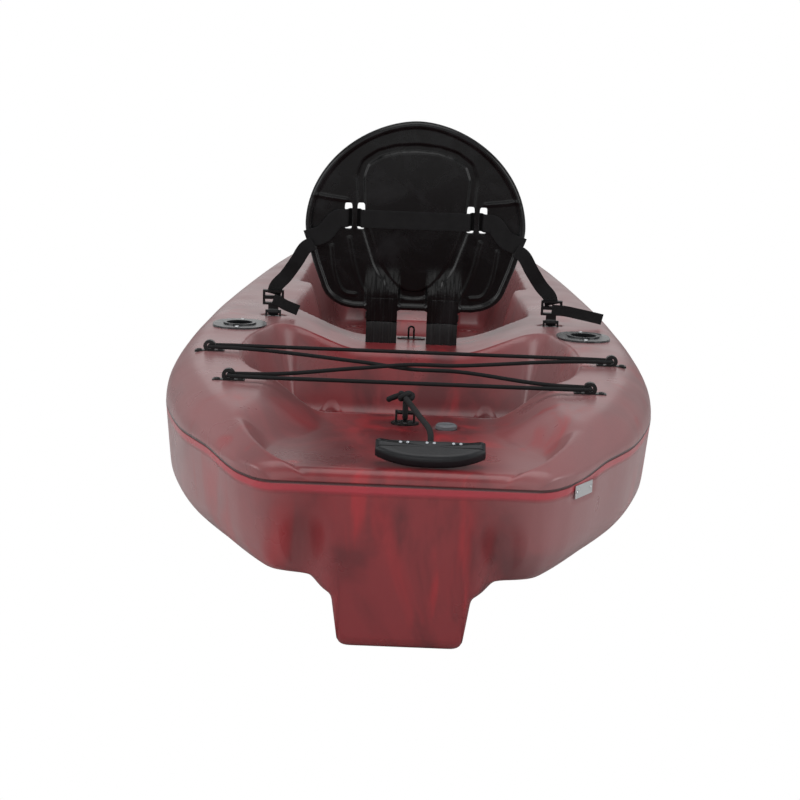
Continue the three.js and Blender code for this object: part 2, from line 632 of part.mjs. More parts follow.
// A point on the line of the grip's bore, at a distance inside its front face
const intoGrip = (inside) => [
  ropeAcross, gripFront - inside * Math.cos(gripTilt), gripHeight - inside * Math.sin(gripTilt),
];
const ropeRun = [
  [0, -7, knotHeight], [3, -22, knotHeight - 1], [8, -44, knotHeight - 3], [14, -72, 15.5],
  [20, -104, 13.5], [26, -140, 13], [31, -178, 13.5], intoGrip(-gripLead), intoGrip(gripInset),
];
const looseEnd = [[0, 4, knotHeight], [-9, 7, knotHeight + 1], [-20, 10, knotHeight - 3], [-27, 12, knotHeight - 7]];
const ropePoint = ([x, y, z]) => new THREE.Vector3(x, y, z).add(barCentre);
{
  const loopSteps = 9;
  const loop = [[0, 4, knotHeight]];
  for (let i = 0; i < loopSteps; i += 1) {
    const angle = (Math.PI * i) / (loopSteps - 1);
    loop.push([0, ropeLoop * Math.cos(angle), -ropeLoop * Math.sin(angle)]);
  }
  loop.push([0, -4, knotHeight]);
  const knot = toSolid(new THREE.SphereGeometry(1, 14, 10).scale(...knotSize).translate(0, 0, knotHeight + knotRise)
    .translate(barCentre.x, barCentre.y, barCentre.z));
  const runs = [ropeRun, looseEnd, loop].map((route) => toSolid(tube(route.map(ropePoint), ropeRadius, 10)));
  addPiece('stern_rope', toGeometry(joined(knot, ...runs)), colours.rubber);
}

// The grip: straight along the front, curved behind, with rounded faces. It leans on its curved edge.
const gripHalf = 70;
const gripDeep = 38;
const gripThick = 19;
const gripBevel = 4;
{
  const back = (x) => -gripDeep * (1 - Math.abs(x / gripHalf) ** 2.6 * 0.52);
  const points = [[-gripHalf, 0], [gripHalf, 0]];
  for (let i = 0; i <= 12; i += 1) {
    const x = gripHalf * (1 - i / 6);
    points.push([x, back(x)]);
  }
  const shape = new THREE.Shape(points.map(([x, y]) => new THREE.Vector2(x, y)));
  const geometry = new THREE.ExtrudeGeometry(shape, {
    depth: gripThick - 2 * gripBevel, bevelEnabled: true, bevelThickness: gripBevel, bevelSize: gripBevel,
    bevelOffset: -gripBevel, bevelSegments: 2,
  });
  geometry.translate(0, 0, gripBevel - gripThick / 2);
  const bore = rod(ropeRadius + running, -gripBore, overrun, 12).rotateX(-Math.PI / 2);
  const grip = cut(toSolid(geometry), toSolid(bore));
  const place = new THREE.Matrix4().makeRotationX(gripTilt).setPosition(ropePoint(intoGrip(0)));
  addPiece('stern_grip', toGeometry(grip), colours.black, place);
}

// Hatch in the front deck: a ring screwed into the deck, and a lid that turns and lifts out on its seal
const hatchFromStern = 2600;
const hatchSunk = 8;
const hatchFlange = 96;
const hatchFlangeThick = 5;
const hatchCollar = 84;
const hatchOpening = 78;
const hatchCollarDepth = 24;
const sealThick = 2;
const lidRim = 88;
const lidThick = 5;
const lidChamfer = 3;
const lidPlug = 76;
const lidPlugDepth = 14;
const lidGripLength = 100;
const lidGripWide = 15;
const lidGripHigh = 12;
const sealClear = 2;
const hatchFrame = deckFrame(0, hatchFromStern, hatchSunk);
{
  const ringProfile = [
    [hatchOpening, -hatchCollarDepth], [hatchCollar, -hatchCollarDepth], [hatchCollar, seating],
    [hatchFlange, seating], [hatchFlange, seating + hatchFlangeThick], [hatchOpening, seating + hatchFlangeThick],
    [hatchOpening, -hatchCollarDepth],
  ];
  addPiece('hatch_ring', turned(ringProfile, 36), colours.black, hatchFrame);
  const sealZ = hatchFlangeThick + 2 * seating;
  const sealHole = oval(lidPlug + sealClear, lidPlug + sealClear, 36);
  const seal = plate(oval(lidRim, lidRim, 36), sealZ, sealZ + sealThick, [sealHole]);
  addPiece('hatch_seal', seal, colours.rubber, hatchFrame);
  const lidZ = sealZ + sealThick + seating;
  const lidProfile = [
    [0, lidZ - lidPlugDepth], [lidPlug, lidZ - lidPlugDepth], [lidPlug, lidZ], [lidRim, lidZ],
    [lidRim, lidZ + lidThick * 0.7], [lidRim - lidChamfer, lidZ + lidThick], [0, lidZ + lidThick],
  ];
  const gripBar = boxAt(0, 0, lidZ + lidThick + (lidGripHigh - bite) / 2, lidGripLength, lidGripWide, lidGripHigh);
  const lid = joined(toSolid(turned(lidProfile, 36)), toSolid(gripBar));
  addPiece('hatch_lid', toGeometry(lid), colours.black, hatchFrame);
  sinkCut(rod(hatchFlange + running, 0, overrun, 36), hatchFrame.clone());
  sinkCut(rod(hatchCollar + running, -overrun / 2, overrun, 36), hatchFrame.clone());
}

// Blank data plate on the starboard quarter, with a rivet at each end
const plateFromStern = 66;
const plateHeight = 206;
const plateLong = 52;
const plateHigh = 17;
const plateThick = 1;
const plateSunk = 1.2;
const rivetHead = 2.4;
const rivetHigh = 1;
const rivetInset = 5;
{
  const sideAt = (fromStern) => new THREE.Vector2(halfWidthAt(fromStern / length), fromStern);
  const low = sideAt(plateFromStern - plateLong / 2);
  const high = sideAt(plateFromStern + plateLong / 2);
  const along = new THREE.Vector3(high.x - low.x, high.y - low.y, 0).normalize();
  const up = new THREE.Vector3(0, 0, 1);
  const normal = along.clone().cross(up);
  const chineZ = follow(chineRiseShares, plateFromStern / length) * seamHeight;
  const sideHigh = seamHeight - chineZ - Math.min(bilgeHeight, (seamHeight - chineZ) / 2);
  const inward = tumblehome * (seamHeight - plateHeight) / sideHigh;
  const origin = new THREE.Vector3((low.x + high.x) / 2 - inward - plateSunk, sternY + plateFromStern, plateHeight);
  const frame = new THREE.Matrix4().makeBasis(along, up, normal).setPosition(origin);
  const rivetX = plateLong / 2 - rivetInset;
  const rivetHole = oval(rivetHead / 2 + running, rivetHead / 2 + running, 8);
  const holes = [-1, 1].map((end) => rivetHole.map(([x, y]) => [x + end * rivetX, y]));
  const blank = plate(boxOutline(plateLong / 2, plateHigh / 2), seating, seating + plateThick, holes);
  addPiece('data_plate', blank, colours.steel, frame);
  const top = plateThick + 2 * seating;
  for (const [name, end] of [['front', 1], ['rear', -1]]) {
    const profile = [[0, -wall], [rivetHead / 2, -wall], [rivetHead / 2, top], [rivetHead, top], [0, top + rivetHigh]];
    addPiece('plate_rivet_' + name, turned(profile, 10).translate(end * rivetX, 0, 0), colours.steel, frame);
    sinkCut(rod(rivetHead / 2 + running, -2 * wall, overrun / 4, 8).translate(end * rivetX, 0, 0), frame.clone());
  }
  sinkCut(plate(boxOutline(plateLong / 2 + running, plateHigh / 2 + running), 0, overrun / 4), frame.clone());
}

// The seat back folds on one axis across the ridge. Its straps hook on bars that lie on the same
// axis, so they keep their length as it folds.
const seatFromStern = 985;
const hingeHeight = 306;
const seatLean = THREE.MathUtils.degToRad(8);
const seatY = sternY + seatFromStern;
const seatFrame = new THREE.Matrix4().makeRotationX(seatLean).setPosition(0, seatY, hingeHeight);

// Hinge legs: fixed to the ridge, with two cheeks round the panel's knuckle
const legInner = 27;
const legOuter = 82.5;
const legDepth = 28;
const legSunk = 2.5;
const cheekThick = 8;
const cheekRound = 9;
const pinRadius = 4;
const pinHead = 6.5;
const pinHeadThick = 2;
const legMiddle = (legInner + legOuter) / 2;
const legHalf = (legOuter - legInner) / 2;
const legFoot = Math.min(deckAt(legInner, seatY), deckAt(legOuter, seatY)) - legSunk;
for (const { name, sign } of sides) {
  const frame = new THREE.Matrix4().makeTranslation(sign * legMiddle, seatY, hingeHeight);
  const low = legFoot - hingeHeight;
  const blockTop = -cheekRound - 2 * running;
  const block = toSolid(boxAt(0, 0, (low + seating + blockTop) / 2, 2 * legHalf, legDepth, blockTop - low - seating));
  const cheeks = [-1, 1].map((end) => {
    const x = end * (legHalf - cheekThick / 2);
    const web = toSolid(boxAt(x, 0, blockTop / 2, cheekThick, 2 * cheekRound, bite - blockTop));
    const round = toSolid(rod(cheekRound, -cheekThick / 2, cheekThick / 2, 20).rotateY(Math.PI / 2).translate(x, 0, 0));
    return joined(web, round);
  });
  const bore = toSolid(rod(pinRadius + running, -overrun, overrun, 16).rotateY(Math.PI / 2));
  addPiece('hinge_leg_' + name, toGeometry(cut(joined(block, ...cheeks), bore)), colours.black, frame);
  const profile = [
    [0, -legHalf], [pinRadius, -legHalf], [pinRadius, legHalf + seating], [pinHead, legHalf + seating],
    [pinHead, legHalf + pinHeadThick], [0, legHalf + pinHeadThick + seating],
  ];
  addPiece('hinge_pin_' + name, turned(profile, 16).rotateY(sign * Math.PI / 2), colours.steel, frame);
  const pocket = frame.clone().setPosition(sign * legMiddle, seatY, legFoot);
  sinkCut(plate(boxOutline(legHalf + running, legDepth / 2 + running), 0, overrun), pocket);
}

// The panel: a moulded plate with a thick rolled rim, a shield-shaped groove and four strap slots
const panelTop = 354;
const panelWideAt = 163;
const panelHalf = 196.5;
const panelBottom = 12;
const panelThick = 8;
const rimThick = 18;
const rimWide = 13;
const groove = 2.5;
const grooveWide = 15;
const slotWide = 13.6;
const slotHigh = 48;
const slotMiddle = 182;
const slotInner = 97.5;
const slotOuter = 120;
const cornerShares = [
  [0.41, 0], [0.55, 0], [0.66, 0.03], [0.74, 0.085], [0.8, 0.155], [0.835, 0.235], [0.92, 0.54], [0.955, 0.7],
  [0.99, 0.88],
];
function mirrored(right) {
  return [...right, ...right.slice().reverse().filter(([x]) => x !== 0).map(([x, z]) => [-x, z])];
}
function panelOutline() {
  const right = cornerShares.map(([x, z]) => [x * panelHalf, panelBottom + z * (panelWideAt - panelBottom)]);
  const steps = 11;
  for (let i = 0; i <= steps; i += 1) {
    const turn = (Math.PI / 2) * (i / steps);
    const half = i === steps ? 0 : panelHalf * Math.cos(turn) ** 1.1;
    right.push([half, panelWideAt + (panelTop - panelWideAt) * Math.sin(turn)]);
  }
  return mirrored(right);
}
function insetOutline(points, distance) {
  return points.map(([x, y], i) => {
    const [px, py] = points[(i + points.length - 1) % points.length];
    const [nx, ny] = points[(i + 1) % points.length];
    const along = new THREE.Vector2(nx - px, ny - py).normalize();
    return [x - along.y * distance, y + along.x * distance];
  });
}
const grooveShares = [
  [0, 0.06], [0.16, 0.062], [0.26, 0.085], [0.34, 0.16], [0.52, 0.56], [0.545, 0.72], [0.5, 0.8], [0.36, 0.855],
  [0.19, 0.882], [0, 0.89],
];
const upright = (geometry) => toSolid(geometry.rotateX(Math.PI / 2));
{
  const outline = panelOutline();
  const slab = upright(plate(outline, -panelThick / 2, panelThick / 2));
  const rim = cut(
    upright(plate(outline, -rimThick / 2, rimThick / 2)),
    upright(plate(insetOutline(outline, rimWide), -rimThick, rimThick)),
  );
  const grooveOuter = mirrored(grooveShares.map(([x, z]) => [x * panelHalf, z * panelTop]));
  const grooveRing = cut(
    upright(plate(grooveOuter, 0, rimThick)),
    upright(plate(insetOutline(grooveOuter, grooveWide), -rimThick, 2 * rimThick)),
  ).translate([0, -panelThick / 2 + groove, 0]);
  const slots = [-slotOuter, -slotInner, slotInner, slotOuter].map((x) => toSolid(
    boxAt(x, 0, slotMiddle, slotWide, 3 * rimThick, slotHigh),
  ));
  const knuckleHalf = legHalf - cheekThick - running;
  const knuckles = sides.flatMap(({ sign }) => {
    const barrel = rod(cheekRound, -knuckleHalf, knuckleHalf, 20).rotateY(Math.PI / 2).translate(sign * legMiddle, 0, 0);
    const tab = boxAt(sign * legMiddle, 0, panelBottom, 2 * knuckleHalf, 2 * panelThick * 0.7, 2 * panelBottom);
    return [toSolid(barrel), toSolid(tab)];
  });
  const bores = sides.map(({ sign }) => toSolid(
    rod(pinRadius + running, -legHalf, legHalf, 16).rotateY(Math.PI / 2).translate(sign * legMiddle, 0, 0),
  ));
  const panel = cut(joined(cut(joined(slab, rim), grooveRing, ...slots), ...knuckles), ...bores);
  addPiece('seat_panel', toGeometry(panel), colours.black, seatFrame);
}

// Foam pad on the front of the panel, between the webbing slots: a crowned cushion with drawn-in edges
const padBottom = 34;
const padTop = 338;
const padHalf = 86;
const padThick = 26;
const padEdge = 9;
const padSeat = 3;
{
  const around = 32;
  const layers = [0, 0.28, 0.52, 0.74, 0.9, 1];
  const middle = (padBottom + padTop) / 2;
  const reach = (angle) => 1 - 0.1 * Math.max(-Math.sin(angle), 0) * Math.abs(Math.cos(angle));
  const front = layers.map((share) => Array.from({ length: around + 1 }, (_, i) => {
    const angle = (2 * Math.PI * (i % around)) / around;
    const crown = padEdge + (padThick - padEdge) * (1 - share ** 2) ** 0.6;
    return new THREE.Vector3(
      share * padHalf * Math.cos(angle) * reach(angle), crown,
      middle + share * (padTop - padBottom) / 2 * Math.sin(angle),
    );
  }));
  const back = [...layers].reverse().map((share) => Array.from({ length: around + 1 }, (_, i) => {
    const angle = (2 * Math.PI * (i % around)) / around;
    const drawn = share * 0.985;
    return new THREE.Vector3(
      drawn * padHalf * Math.cos(angle) * reach(angle), 0,
      middle + drawn * (padTop - padBottom) / 2 * Math.sin(angle),
    );
  }));
  const corners = [];
  addGrid(corners, [...front, ...back], false);
  const pad = toSolid(new THREE.BufferGeometry().setFromPoints(corners));
  const seat = panelThick / 2 + padSeat;
  addPiece('seat_pad', toGeometry(pad.translate([0, seat, 0])), colours.webbing, seatFrame);
}

// Flat webbing along a route. Each station gives its centre and the direction of its width.
function ribbon(stations, wide, thick) {
  const at = (i) => stations[Math.min(Math.max(i, 0), stations.length - 1)].centre;
  const rings = stations.map(({ centre, across }, i) => {
    const tangent = at(i + 1).clone().sub(at(i - 1)).normalize();
    const side = across.clone().projectOnPlane(tangent).normalize();
    const face = tangent.clone().cross(side);
    const corner = (s, f) => centre.clone().addScaledVector(side, s * wide / 2).addScaledVector(face, f * thick / 2);
    return [corner(-1, -1), corner(1, -1), corner(1, 1), corner(-1, 1), corner(-1, -1)];
  });
  const corners = [];
  addGrid(corners, rings, false);
  const [first, last] = [rings[0], rings[rings.length - 1]];
  corners.push(first[0], first[2], first[1], first[0], first[3], first[2]);
  corners.push(last[0], last[1], last[2], last[0], last[2], last[3]);
  return new THREE.BufferGeometry().setFromPoints(corners);
}

// Back webbing: across the rear face, through the inner slots, back out of the outer slots and
// slantwise to the panel's edge
const backWide = 33;
const strapWide = 25;
const webThick = 1.6;
const webRear = -(panelThick / 2 + seating + webThick / 2);
const webRim = -(rimThick / 2 + seating + webThick / 2);
const backHeight = 178;
const wedgeDrop = 40;
const webEdge = 3;
const upward = new THREE.Vector3(0, 0, 1);
{
  const front = -webRear;
  const half = [
    [0, webRear, 0], [slotInner - slotWide * 0.2, webRear, 0], [slotInner, 0, 0],
    [slotInner + slotWide * 0.2, front, 0],
    [slotOuter - slotWide * 0.2, front, 0], [slotOuter, 0, 0], [slotOuter + slotWide * 0.2, webRear, 0],
    [slotOuter + slotWide, webRear - 2 * seating, 0], [panelHalf - rimWide * 2.4, webRim, 0.74],
    [panelHalf - webEdge, webRim, 1],
  ].map(([x, y, drop]) => new THREE.Vector3(x, y, backHeight - drop * wedgeDrop));
  const left = half.slice(1).reverse().map((point) => point.clone().setX(-point.x));
  const stations = [...left, ...half].map((centre) => ({ centre, across: upward }));
  addPiece('back_webbing', ribbon(stations, backWide, webThick), colours.webbing, seatFrame);
}

// Side straps, hooked buckles on the anchor bars, and the loose tails
const anchorShare = 0.6404;
const anchorX = halfBeam * anchorShare;
const anchorSunk = 6.5;
const buckleHalf = 19;
const buckleThick = 7;
const buckleLow = 13;
const buckleHigh = 40;
const buckleSlot = 6.5;
const buckleBar = 4;
const hookRing = 7.2;
const hookHalf = 9;
const strapFoot = 31;
// Shares of the way from the panel's edge to the buckle: outwards, down, and to the rear
const strapShares = [[0, 0, 1], [0.19, 0.08, 1], [0.42, 0.35, 0.7], [0.7, 0.66, 0], [0.95, 0.87, 0], [1, 1, 0]];
const strapSlant = 0.5;
for (const { name, sign } of sides) {
  const x = sign * anchorX;
  const foot = deckAt(x, seatY) - anchorSunk;
  barEye('strap_anchor_' + name, new THREE.Matrix4().makeTranslation(x, seatY, foot), hingeHeight - foot);

  const ring = toSolid(rod(hookRing, -hookHalf, hookHalf, 20).rotateY(Math.PI / 2));
  const neckLow = hookRing * 0.8;
  const neckHigh = buckleLow - neckLow + bite;
  const neck = toSolid(boxAt(0, 0, neckLow + neckHigh / 2, 2 * hookHalf, buckleThick, neckHigh));
  const frame = toSolid(boxAt(0, 0, (buckleLow + buckleHigh) / 2, 2 * buckleHalf, buckleThick, buckleHigh - buckleLow));
  const slots = [buckleLow + buckleBar, buckleHigh - buckleBar - buckleSlot].map((low) => toSolid(
    boxAt(0, 0, low + buckleSlot / 2, 2 * (buckleHalf - buckleBar), 3 * buckleThick, buckleSlot),
  ));
  const bar = toSolid(rod(handleBar + running, -overrun, overrun, 16).rotateY(Math.PI / 2));
  const buckle = cut(joined(ring, neck, frame), ...slots, bar);
  const place = seatFrame.clone().multiply(new THREE.Matrix4().makeTranslation(x, 0, 0));
  addPiece('strap_buckle_' + name, toGeometry(buckle), colours.black, place);

  const strapY = webRim - webThick - 4 * seating;
  const strapStart = panelHalf - webEdge - rimWide;
  const strapTop = backHeight - wedgeDrop - 2 * webEdge;
  const faceY = buckleThick / 2 + seating + webThick / 2;
  const strap = strapShares.map(([out, down, rear], i) => ({
    centre: new THREE.Vector3(
      sign * (strapStart + (anchorX - strapStart) * out),
      faceY + (strapY - faceY) * rear,
      strapFoot + (strapTop - strapFoot) * (1 - down),
    ),
    across: new THREE.Vector3(1, 0, i < 4 ? sign * strapSlant : 0),
  }));
  addPiece('side_strap_' + name, ribbon(strap, strapWide, webThick), colours.webbing, seatFrame);
}
const tailTop = 24;
const tailStep = 0.8;
const tailSlant = 0.45;
const tailShares = [0, 0.24, 0.5, 0.77, 1];
const tails = {
  right: { reach: 92, heights: [1, 0.96, 0.8, 0.6, 0.42] },
  left: { reach: -46, heights: [1, 0.83, 0.58, 0.38, 0.21] },
};
for (const { name, sign } of sides) {
  const rearY = -(buckleThick / 2 + seating + webThick / 2);
  const { reach, heights } = tails[name];
  const stations = tailShares.map((share, i) => ({
    centre: new THREE.Vector3(
      sign * (anchorX + reach * share), rearY - Math.min(i, 2) * tailStep, tailTop * heights[i],
    ),
    across: new THREE.Vector3(-sign * tailSlant, 0, 1),
  }));
  addPiece('strap_tail_' + name, ribbon(stations, strapWide * 0.8, webThick), colours.webbing, seatFrame);
}

// Catch on the ridge between the hinge legs: a slotted plate with a small staple
const catchFromStern = 1036;
const catchHalfX = 26;
const catchHalfY = 9;
const catchThick = 3.5;
const catchSunk = 2;
const stapleHalf = 5;
const stapleHigh = 22;
const stapleWire = 1.8;
{
  const frame = deckFrame(0, catchFromStern, catchSunk);
  const slot = boxOutline(catchHalfX * 0.72, catchHalfY * 0.36);
  const base = toSolid(plate(oval(catchHalfX, catchHalfY, 24, 4), seating, seating + catchThick, [slot]));
  const route = [[-1, 0], [-1, 0.5], [-1, 0.8]];
  for (let i = 0; i <= 6; i += 1) {
    const angle = Math.PI * (1 - i / 6);
    route.push([Math.cos(angle), 0.8 + 0.2 * Math.sin(angle)]);
  }
  route.push([1, 0.5], [1, 0]);
  const seat = catchHalfY * 0.7;
  const wire = route.map(([x, z]) => new THREE.Vector3(x * stapleHalf, seat, catchThick / 2 + z * stapleHigh));
  const staple = toSolid(tube(wire, stapleWire, 8));
  addPiece('seat_catch', toGeometry(joined(base, staple)), colours.black, frame);
  sinkCut(plate(oval(catchHalfX + running, catchHalfY + running, 24, 4), 0, overrun), frame.clone());
}

// The hull: one skin, less its hollow, the wells, the scupper tubes and every seat and hole
const skinShares = [
  0, 0.005, 0.014, 0.028, 0.046, 0.07, 0.1, 0.14, 0.2, 0.27, 0.34, 0.42, 0.51, 0.6, 0.68, 0.75, 0.81, 0.86,
  0.9, 0.935, 0.962, 0.982, 0.994, 1,
];
// The hollow keeps to stations of the skin, so that it never cuts through between two of them
const hollowShares = [0.003, ...skinShares.slice(2, -2)];
const scupperRadius = 13;
const scupperTankShare = 0.5075;
const scupperSeatShare = 0.5405;
const scupperTankInset = 57;
const scupperSeatInset = 84;
const scupperLegInset = 120;
const scupperPlaces = [
  { x: tankWell.half * scupperTankShare, fromStern: tankWell.end - scupperTankInset },
  { x: seatWell.half * scupperSeatShare, fromStern: seatWell.start + scupperSeatInset },
  { x: legWell.centre, fromStern: legWell.end - scupperLegInset },
];
{
  const skin = toSolid(hullSkin(skinShares, 0));
  let hollow = toSolid(hullSkin(hollowShares, wall));
  const bothSides = ({ x, fromStern }) => sides.map(({ sign }) => ({ x: sign * x, y: sternY + fromStern }));
  const scuppers = scupperPlaces.flatMap(bothSides);
  for (const [well, sign] of wellList) hollow = cut(hollow, wellSolid(well, sign, wall, wall));
  for (const { x, y } of scuppers) {
    hollow = cut(hollow, toSolid(rod(scupperRadius + wall, -overrun, rimHeight, 12).translate(x, y, 0)));
  }
  let hull = skin;
  for (const [well, sign] of wellList) hull = cut(hull, wellSolid(well, sign, 0, 0));
  for (const { x, y } of scuppers) {
    hull = cut(hull, toSolid(rod(scupperRadius, -overrun, rimHeight, 12).translate(x, y, 0)));
  }
  hull = cut(cut(hull, hollow), ...hullCuts);
  addPiece('hull', toGeometry(hull), colours.hull);
}

export default part;
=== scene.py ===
"""The looks of a sit-on-top fishing kayak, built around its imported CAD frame.

Lengths in the tables and functions are millimetres, in the row's frame: X starboard, Y to the bow,
Z up. Meshes are made in metres.
"""

import json
import math

import bpy
import numpy as np
from mathutils import Matrix, Vector


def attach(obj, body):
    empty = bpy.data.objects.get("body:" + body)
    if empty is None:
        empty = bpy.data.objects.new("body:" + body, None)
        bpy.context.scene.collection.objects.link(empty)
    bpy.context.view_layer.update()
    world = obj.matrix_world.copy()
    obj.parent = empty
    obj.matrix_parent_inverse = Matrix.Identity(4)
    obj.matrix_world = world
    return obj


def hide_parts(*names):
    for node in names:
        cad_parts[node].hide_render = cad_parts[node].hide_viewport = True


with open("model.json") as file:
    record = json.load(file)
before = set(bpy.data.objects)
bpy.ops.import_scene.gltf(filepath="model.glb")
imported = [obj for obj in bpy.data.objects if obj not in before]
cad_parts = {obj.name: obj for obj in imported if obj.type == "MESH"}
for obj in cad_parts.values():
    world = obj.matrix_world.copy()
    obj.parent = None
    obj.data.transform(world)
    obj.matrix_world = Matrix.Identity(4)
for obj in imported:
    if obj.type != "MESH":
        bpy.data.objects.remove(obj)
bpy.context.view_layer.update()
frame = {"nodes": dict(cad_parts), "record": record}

PER_METRE = 1000
TINY = 1e-9
LENGTH = 3048.0
STERN = -LENGTH / 2

# Camera: behind the stern and a little above it, with a long lens and a slight roll
LENS = 75.2
SENSOR = 36.0
CAMERA_HEIGHT = 0.68
CAMERA_BEHIND = 2.03
PITCH_DOWN = math.radians(9.94)
YAW = math.radians(-0.3)
ROLL = math.radians(2.2)

camera = bpy.data.objects.new("camera", bpy.data.cameras.new("camera"))
camera.data.lens = LENS
camera.data.sensor_width = SENSOR
camera.matrix_world = (
    Matrix.Translation((0, STERN / PER_METRE - CAMERA_BEHIND, CAMERA_HEIGHT))
    @ Matrix.Rotation(-YAW, 4, "Z")
    @ Matrix.Rotation(math.pi / 2 - PITCH_DOWN, 4, "X")
    @ Matrix.Rotation(ROLL, 4, "Z")
)
bpy.context.scene.collection.objects.link(camera)
bpy.context.scene.camera = camera

# Hull sizes, and the shares that hold them down where the hull is narrow
HALF_BEAM = 393.5
SEAM_HEIGHT = 230.0
DECK_RISE = 68.0
SHOULDER = 62.0
KEEL_HALF = 80.0
KEEL_EDGE = 8.0
KEEL_DRAFT = 10.0
BILGE_WIDTH = 120.0
BILGE_HEIGHT = 105.0
TUMBLEHOME = 8.0
SKEG_RAKE = 8.0
SKEG_RAKE_HEIGHT = 140.0
STERN_FADE = 210.0
FLUTE_DEPTH = 30.0
FLUTE_TOP = 212.0
FLUTE_WIDTH = 96.0
SIDE_RAKE = 0.5
SHOULDER_MOST, SHOULDER_CLEAR, TROUGH_MOST = 0.6, 0.6, 0.9
KEEL_MOST, BILGE_MOST, TUMBLEHOME_MOST = 0.5, 0.5, 0.1
FLAT_PLACE, FLAT_RISE, ROOF_FLAT, CHINE_PLACE = 0.45, 0.6, 0.4, 0.5

# Hull tables, as shares of the length from the stern against shares of a size
PLAN = [
    (0, 0.457), (0.0066, 0.508), (0.0145, 0.56), (0.046, 0.686), (0.079, 0.8), (0.125, 0.895),
    (0.148, 0.93), (0.197, 0.973), (0.246, 0.991), (0.312, 1), (0.377, 1), (0.443, 0.99),
    (0.525, 0.97), (0.623, 0.93), (0.722, 0.862), (0.804, 0.735), (0.869, 0.6), (0.919, 0.455),
    (0.958, 0.31), (0.984, 0.183), (0.994, 0.11), (1, 0.02),
]
SEAM = [(0, 1), (0.5, 1.01), (0.8, 1.09), (1, 1.27)]
EDGE_RISE = [
    (0, 0.1), (0.033, 0.5), (0.082, 0.78), (0.131, 0.88), (0.3, 1), (0.5, 1.02), (0.72, 1), (1, 0.95),
]
CENTRE_RISE = [
    (0, 0.04), (0.109, 0.19), (0.295, 0.37), (0.348, 0.41), (0.5, 0.5), (0.7, 0.9), (0.78, 1.2),
    (0.9, 1.2), (1, 1),
]
TROUGH_INNER = [(0, 0.5), (0.038, 0.45), (0.08, 0.3), (0.109, 0.3), (0.295, 0.2), (0.6, 0.2), (1, 0.05)]
TROUGH_OUTER = [(0, 0.56), (0.038, 0.6), (0.08, 0.55), (0.109, 0.55), (0.295, 0.61), (1, 0.5)]
KEEL_WIDTH = [(0, 1), (0.03, 0.95), (0.12, 0.78), (0.3, 0.68), (0.6, 0.62), (0.85, 0.33), (1, 0.05)]
KEEL_RISE = [(0, 0), (0.78, 0), (0.86, 0.1), (0.92, 0.27), (0.968, 0.52), (0.994, 0.83), (1, 1.08)]
CHANNEL_RISE = [(0, 0.31), (0.1, 0.17), (0.3, 0.14), (0.7, 0.15), (0.86, 0.28), (0.96, 0.6), (1, 1.12)]
CHINE_RISE = [(0, 0.38), (0.08, 0.33), (0.3, 0.135), (0.6, 0.1), (0.78, 0.2), (0.9, 0.5), (1, 1.16)]



def follow(pairs, at):
    """A smooth curve through pairs: cubic between neighbours, with the harmonic mean of the two
    slopes as the tangent at each, so that it never overshoots."""
    xs, ys = np.array(pairs, float).T
    slope = np.diff(ys) / np.diff(xs)
    before, after = slope[:-1], slope[1:]
    same = before * after > 0
    mean = np.where(same, 2 * before * after / np.where(same, before + after, 1), 0)
    tangent = np.concatenate([slope[:1], mean, slope[-1:]])
    at = np.clip(at, xs[0], xs[-1])
    i = np.clip(np.searchsorted(xs, at, side="right") - 1, 0, len(xs) - 2)
    span = xs[i + 1] - xs[i]
    t = (at - xs[i]) / span
    rise = t * t * (3 - 2 * t)
    bend = (t**3 - 2 * t**2 + t) * tangent[i] + (t**3 - t**2) * tangent[i + 1]
    return ys[i] * (1 - rise) + ys[i + 1] * rise + bend * span


def smooth(low, high, at):
    """The cubic step from 0 at low to 1 at high."""
    t = np.clip((at - low) / (high - low), 0, 1)
    return t * t * (3 - 2 * t)


def half_width(share):
    return follow(PLAN, share) * HALF_BEAM


def shoulder_of(width):
    return np.minimum(SHOULDER, width * SHOULDER_MOST)


def seam_height(share):
    return follow(SEAM, share) * SEAM_HEIGHT


def deck_height(x, y):
    """Height of the deck before the wells: a shallow trough between two side decks, each rising
    by a cubic step, with a quarter-ellipse shoulder down to the seam."""
    share = (y - STERN) / LENGTH
    width = half_width(share)
    shoulder = shoulder_of(width)
    outer = np.minimum(follow(TROUGH_OUTER, share) * HALF_BEAM, width - shoulder * SHOULDER_CLEAR)
    inner = np.minimum(follow(TROUGH_INNER, share) * HALF_BEAM, outer * TROUGH_MOST)
    centre = follow(CENTRE_RISE, share) * DECK_RISE
    edge = follow(EDGE_RISE, share) * DECK_RISE
    top = centre + (edge - centre) * smooth(inner, outer, np.abs(x))
    inward = np.clip((width - np.abs(x)) / shoulder, 0, 1)
    return seam_height(share) + top * np.sqrt(np.clip(1 - (1 - inward) ** 2, 0, 1))


def stern_push(x, y, z):
    """How far the stern is pushed forward: the raked foot of the keel post, and a flute each side
    of it as a squared sine across its width, both fading out forward."""
    fade = 1 - smooth(0, STERN_FADE, y - STERN)
    foot = 1 - smooth(0, SKEG_RAKE_HEIGHT, z)
    across = (np.abs(x) - KEEL_HALF) / FLUTE_WIDTH
    flute = np.where((across > 0) & (across < 1), np.sin(np.pi * across) ** 2, 0)
    depth = (1 - smooth(SKEG_RAKE_HEIGHT, FLUTE_TOP, z)) * flute
    return fade * (SKEG_RAKE * foot * np.where(across > 0, SIDE_RAKE, 1) + FLUTE_DEPTH * depth)


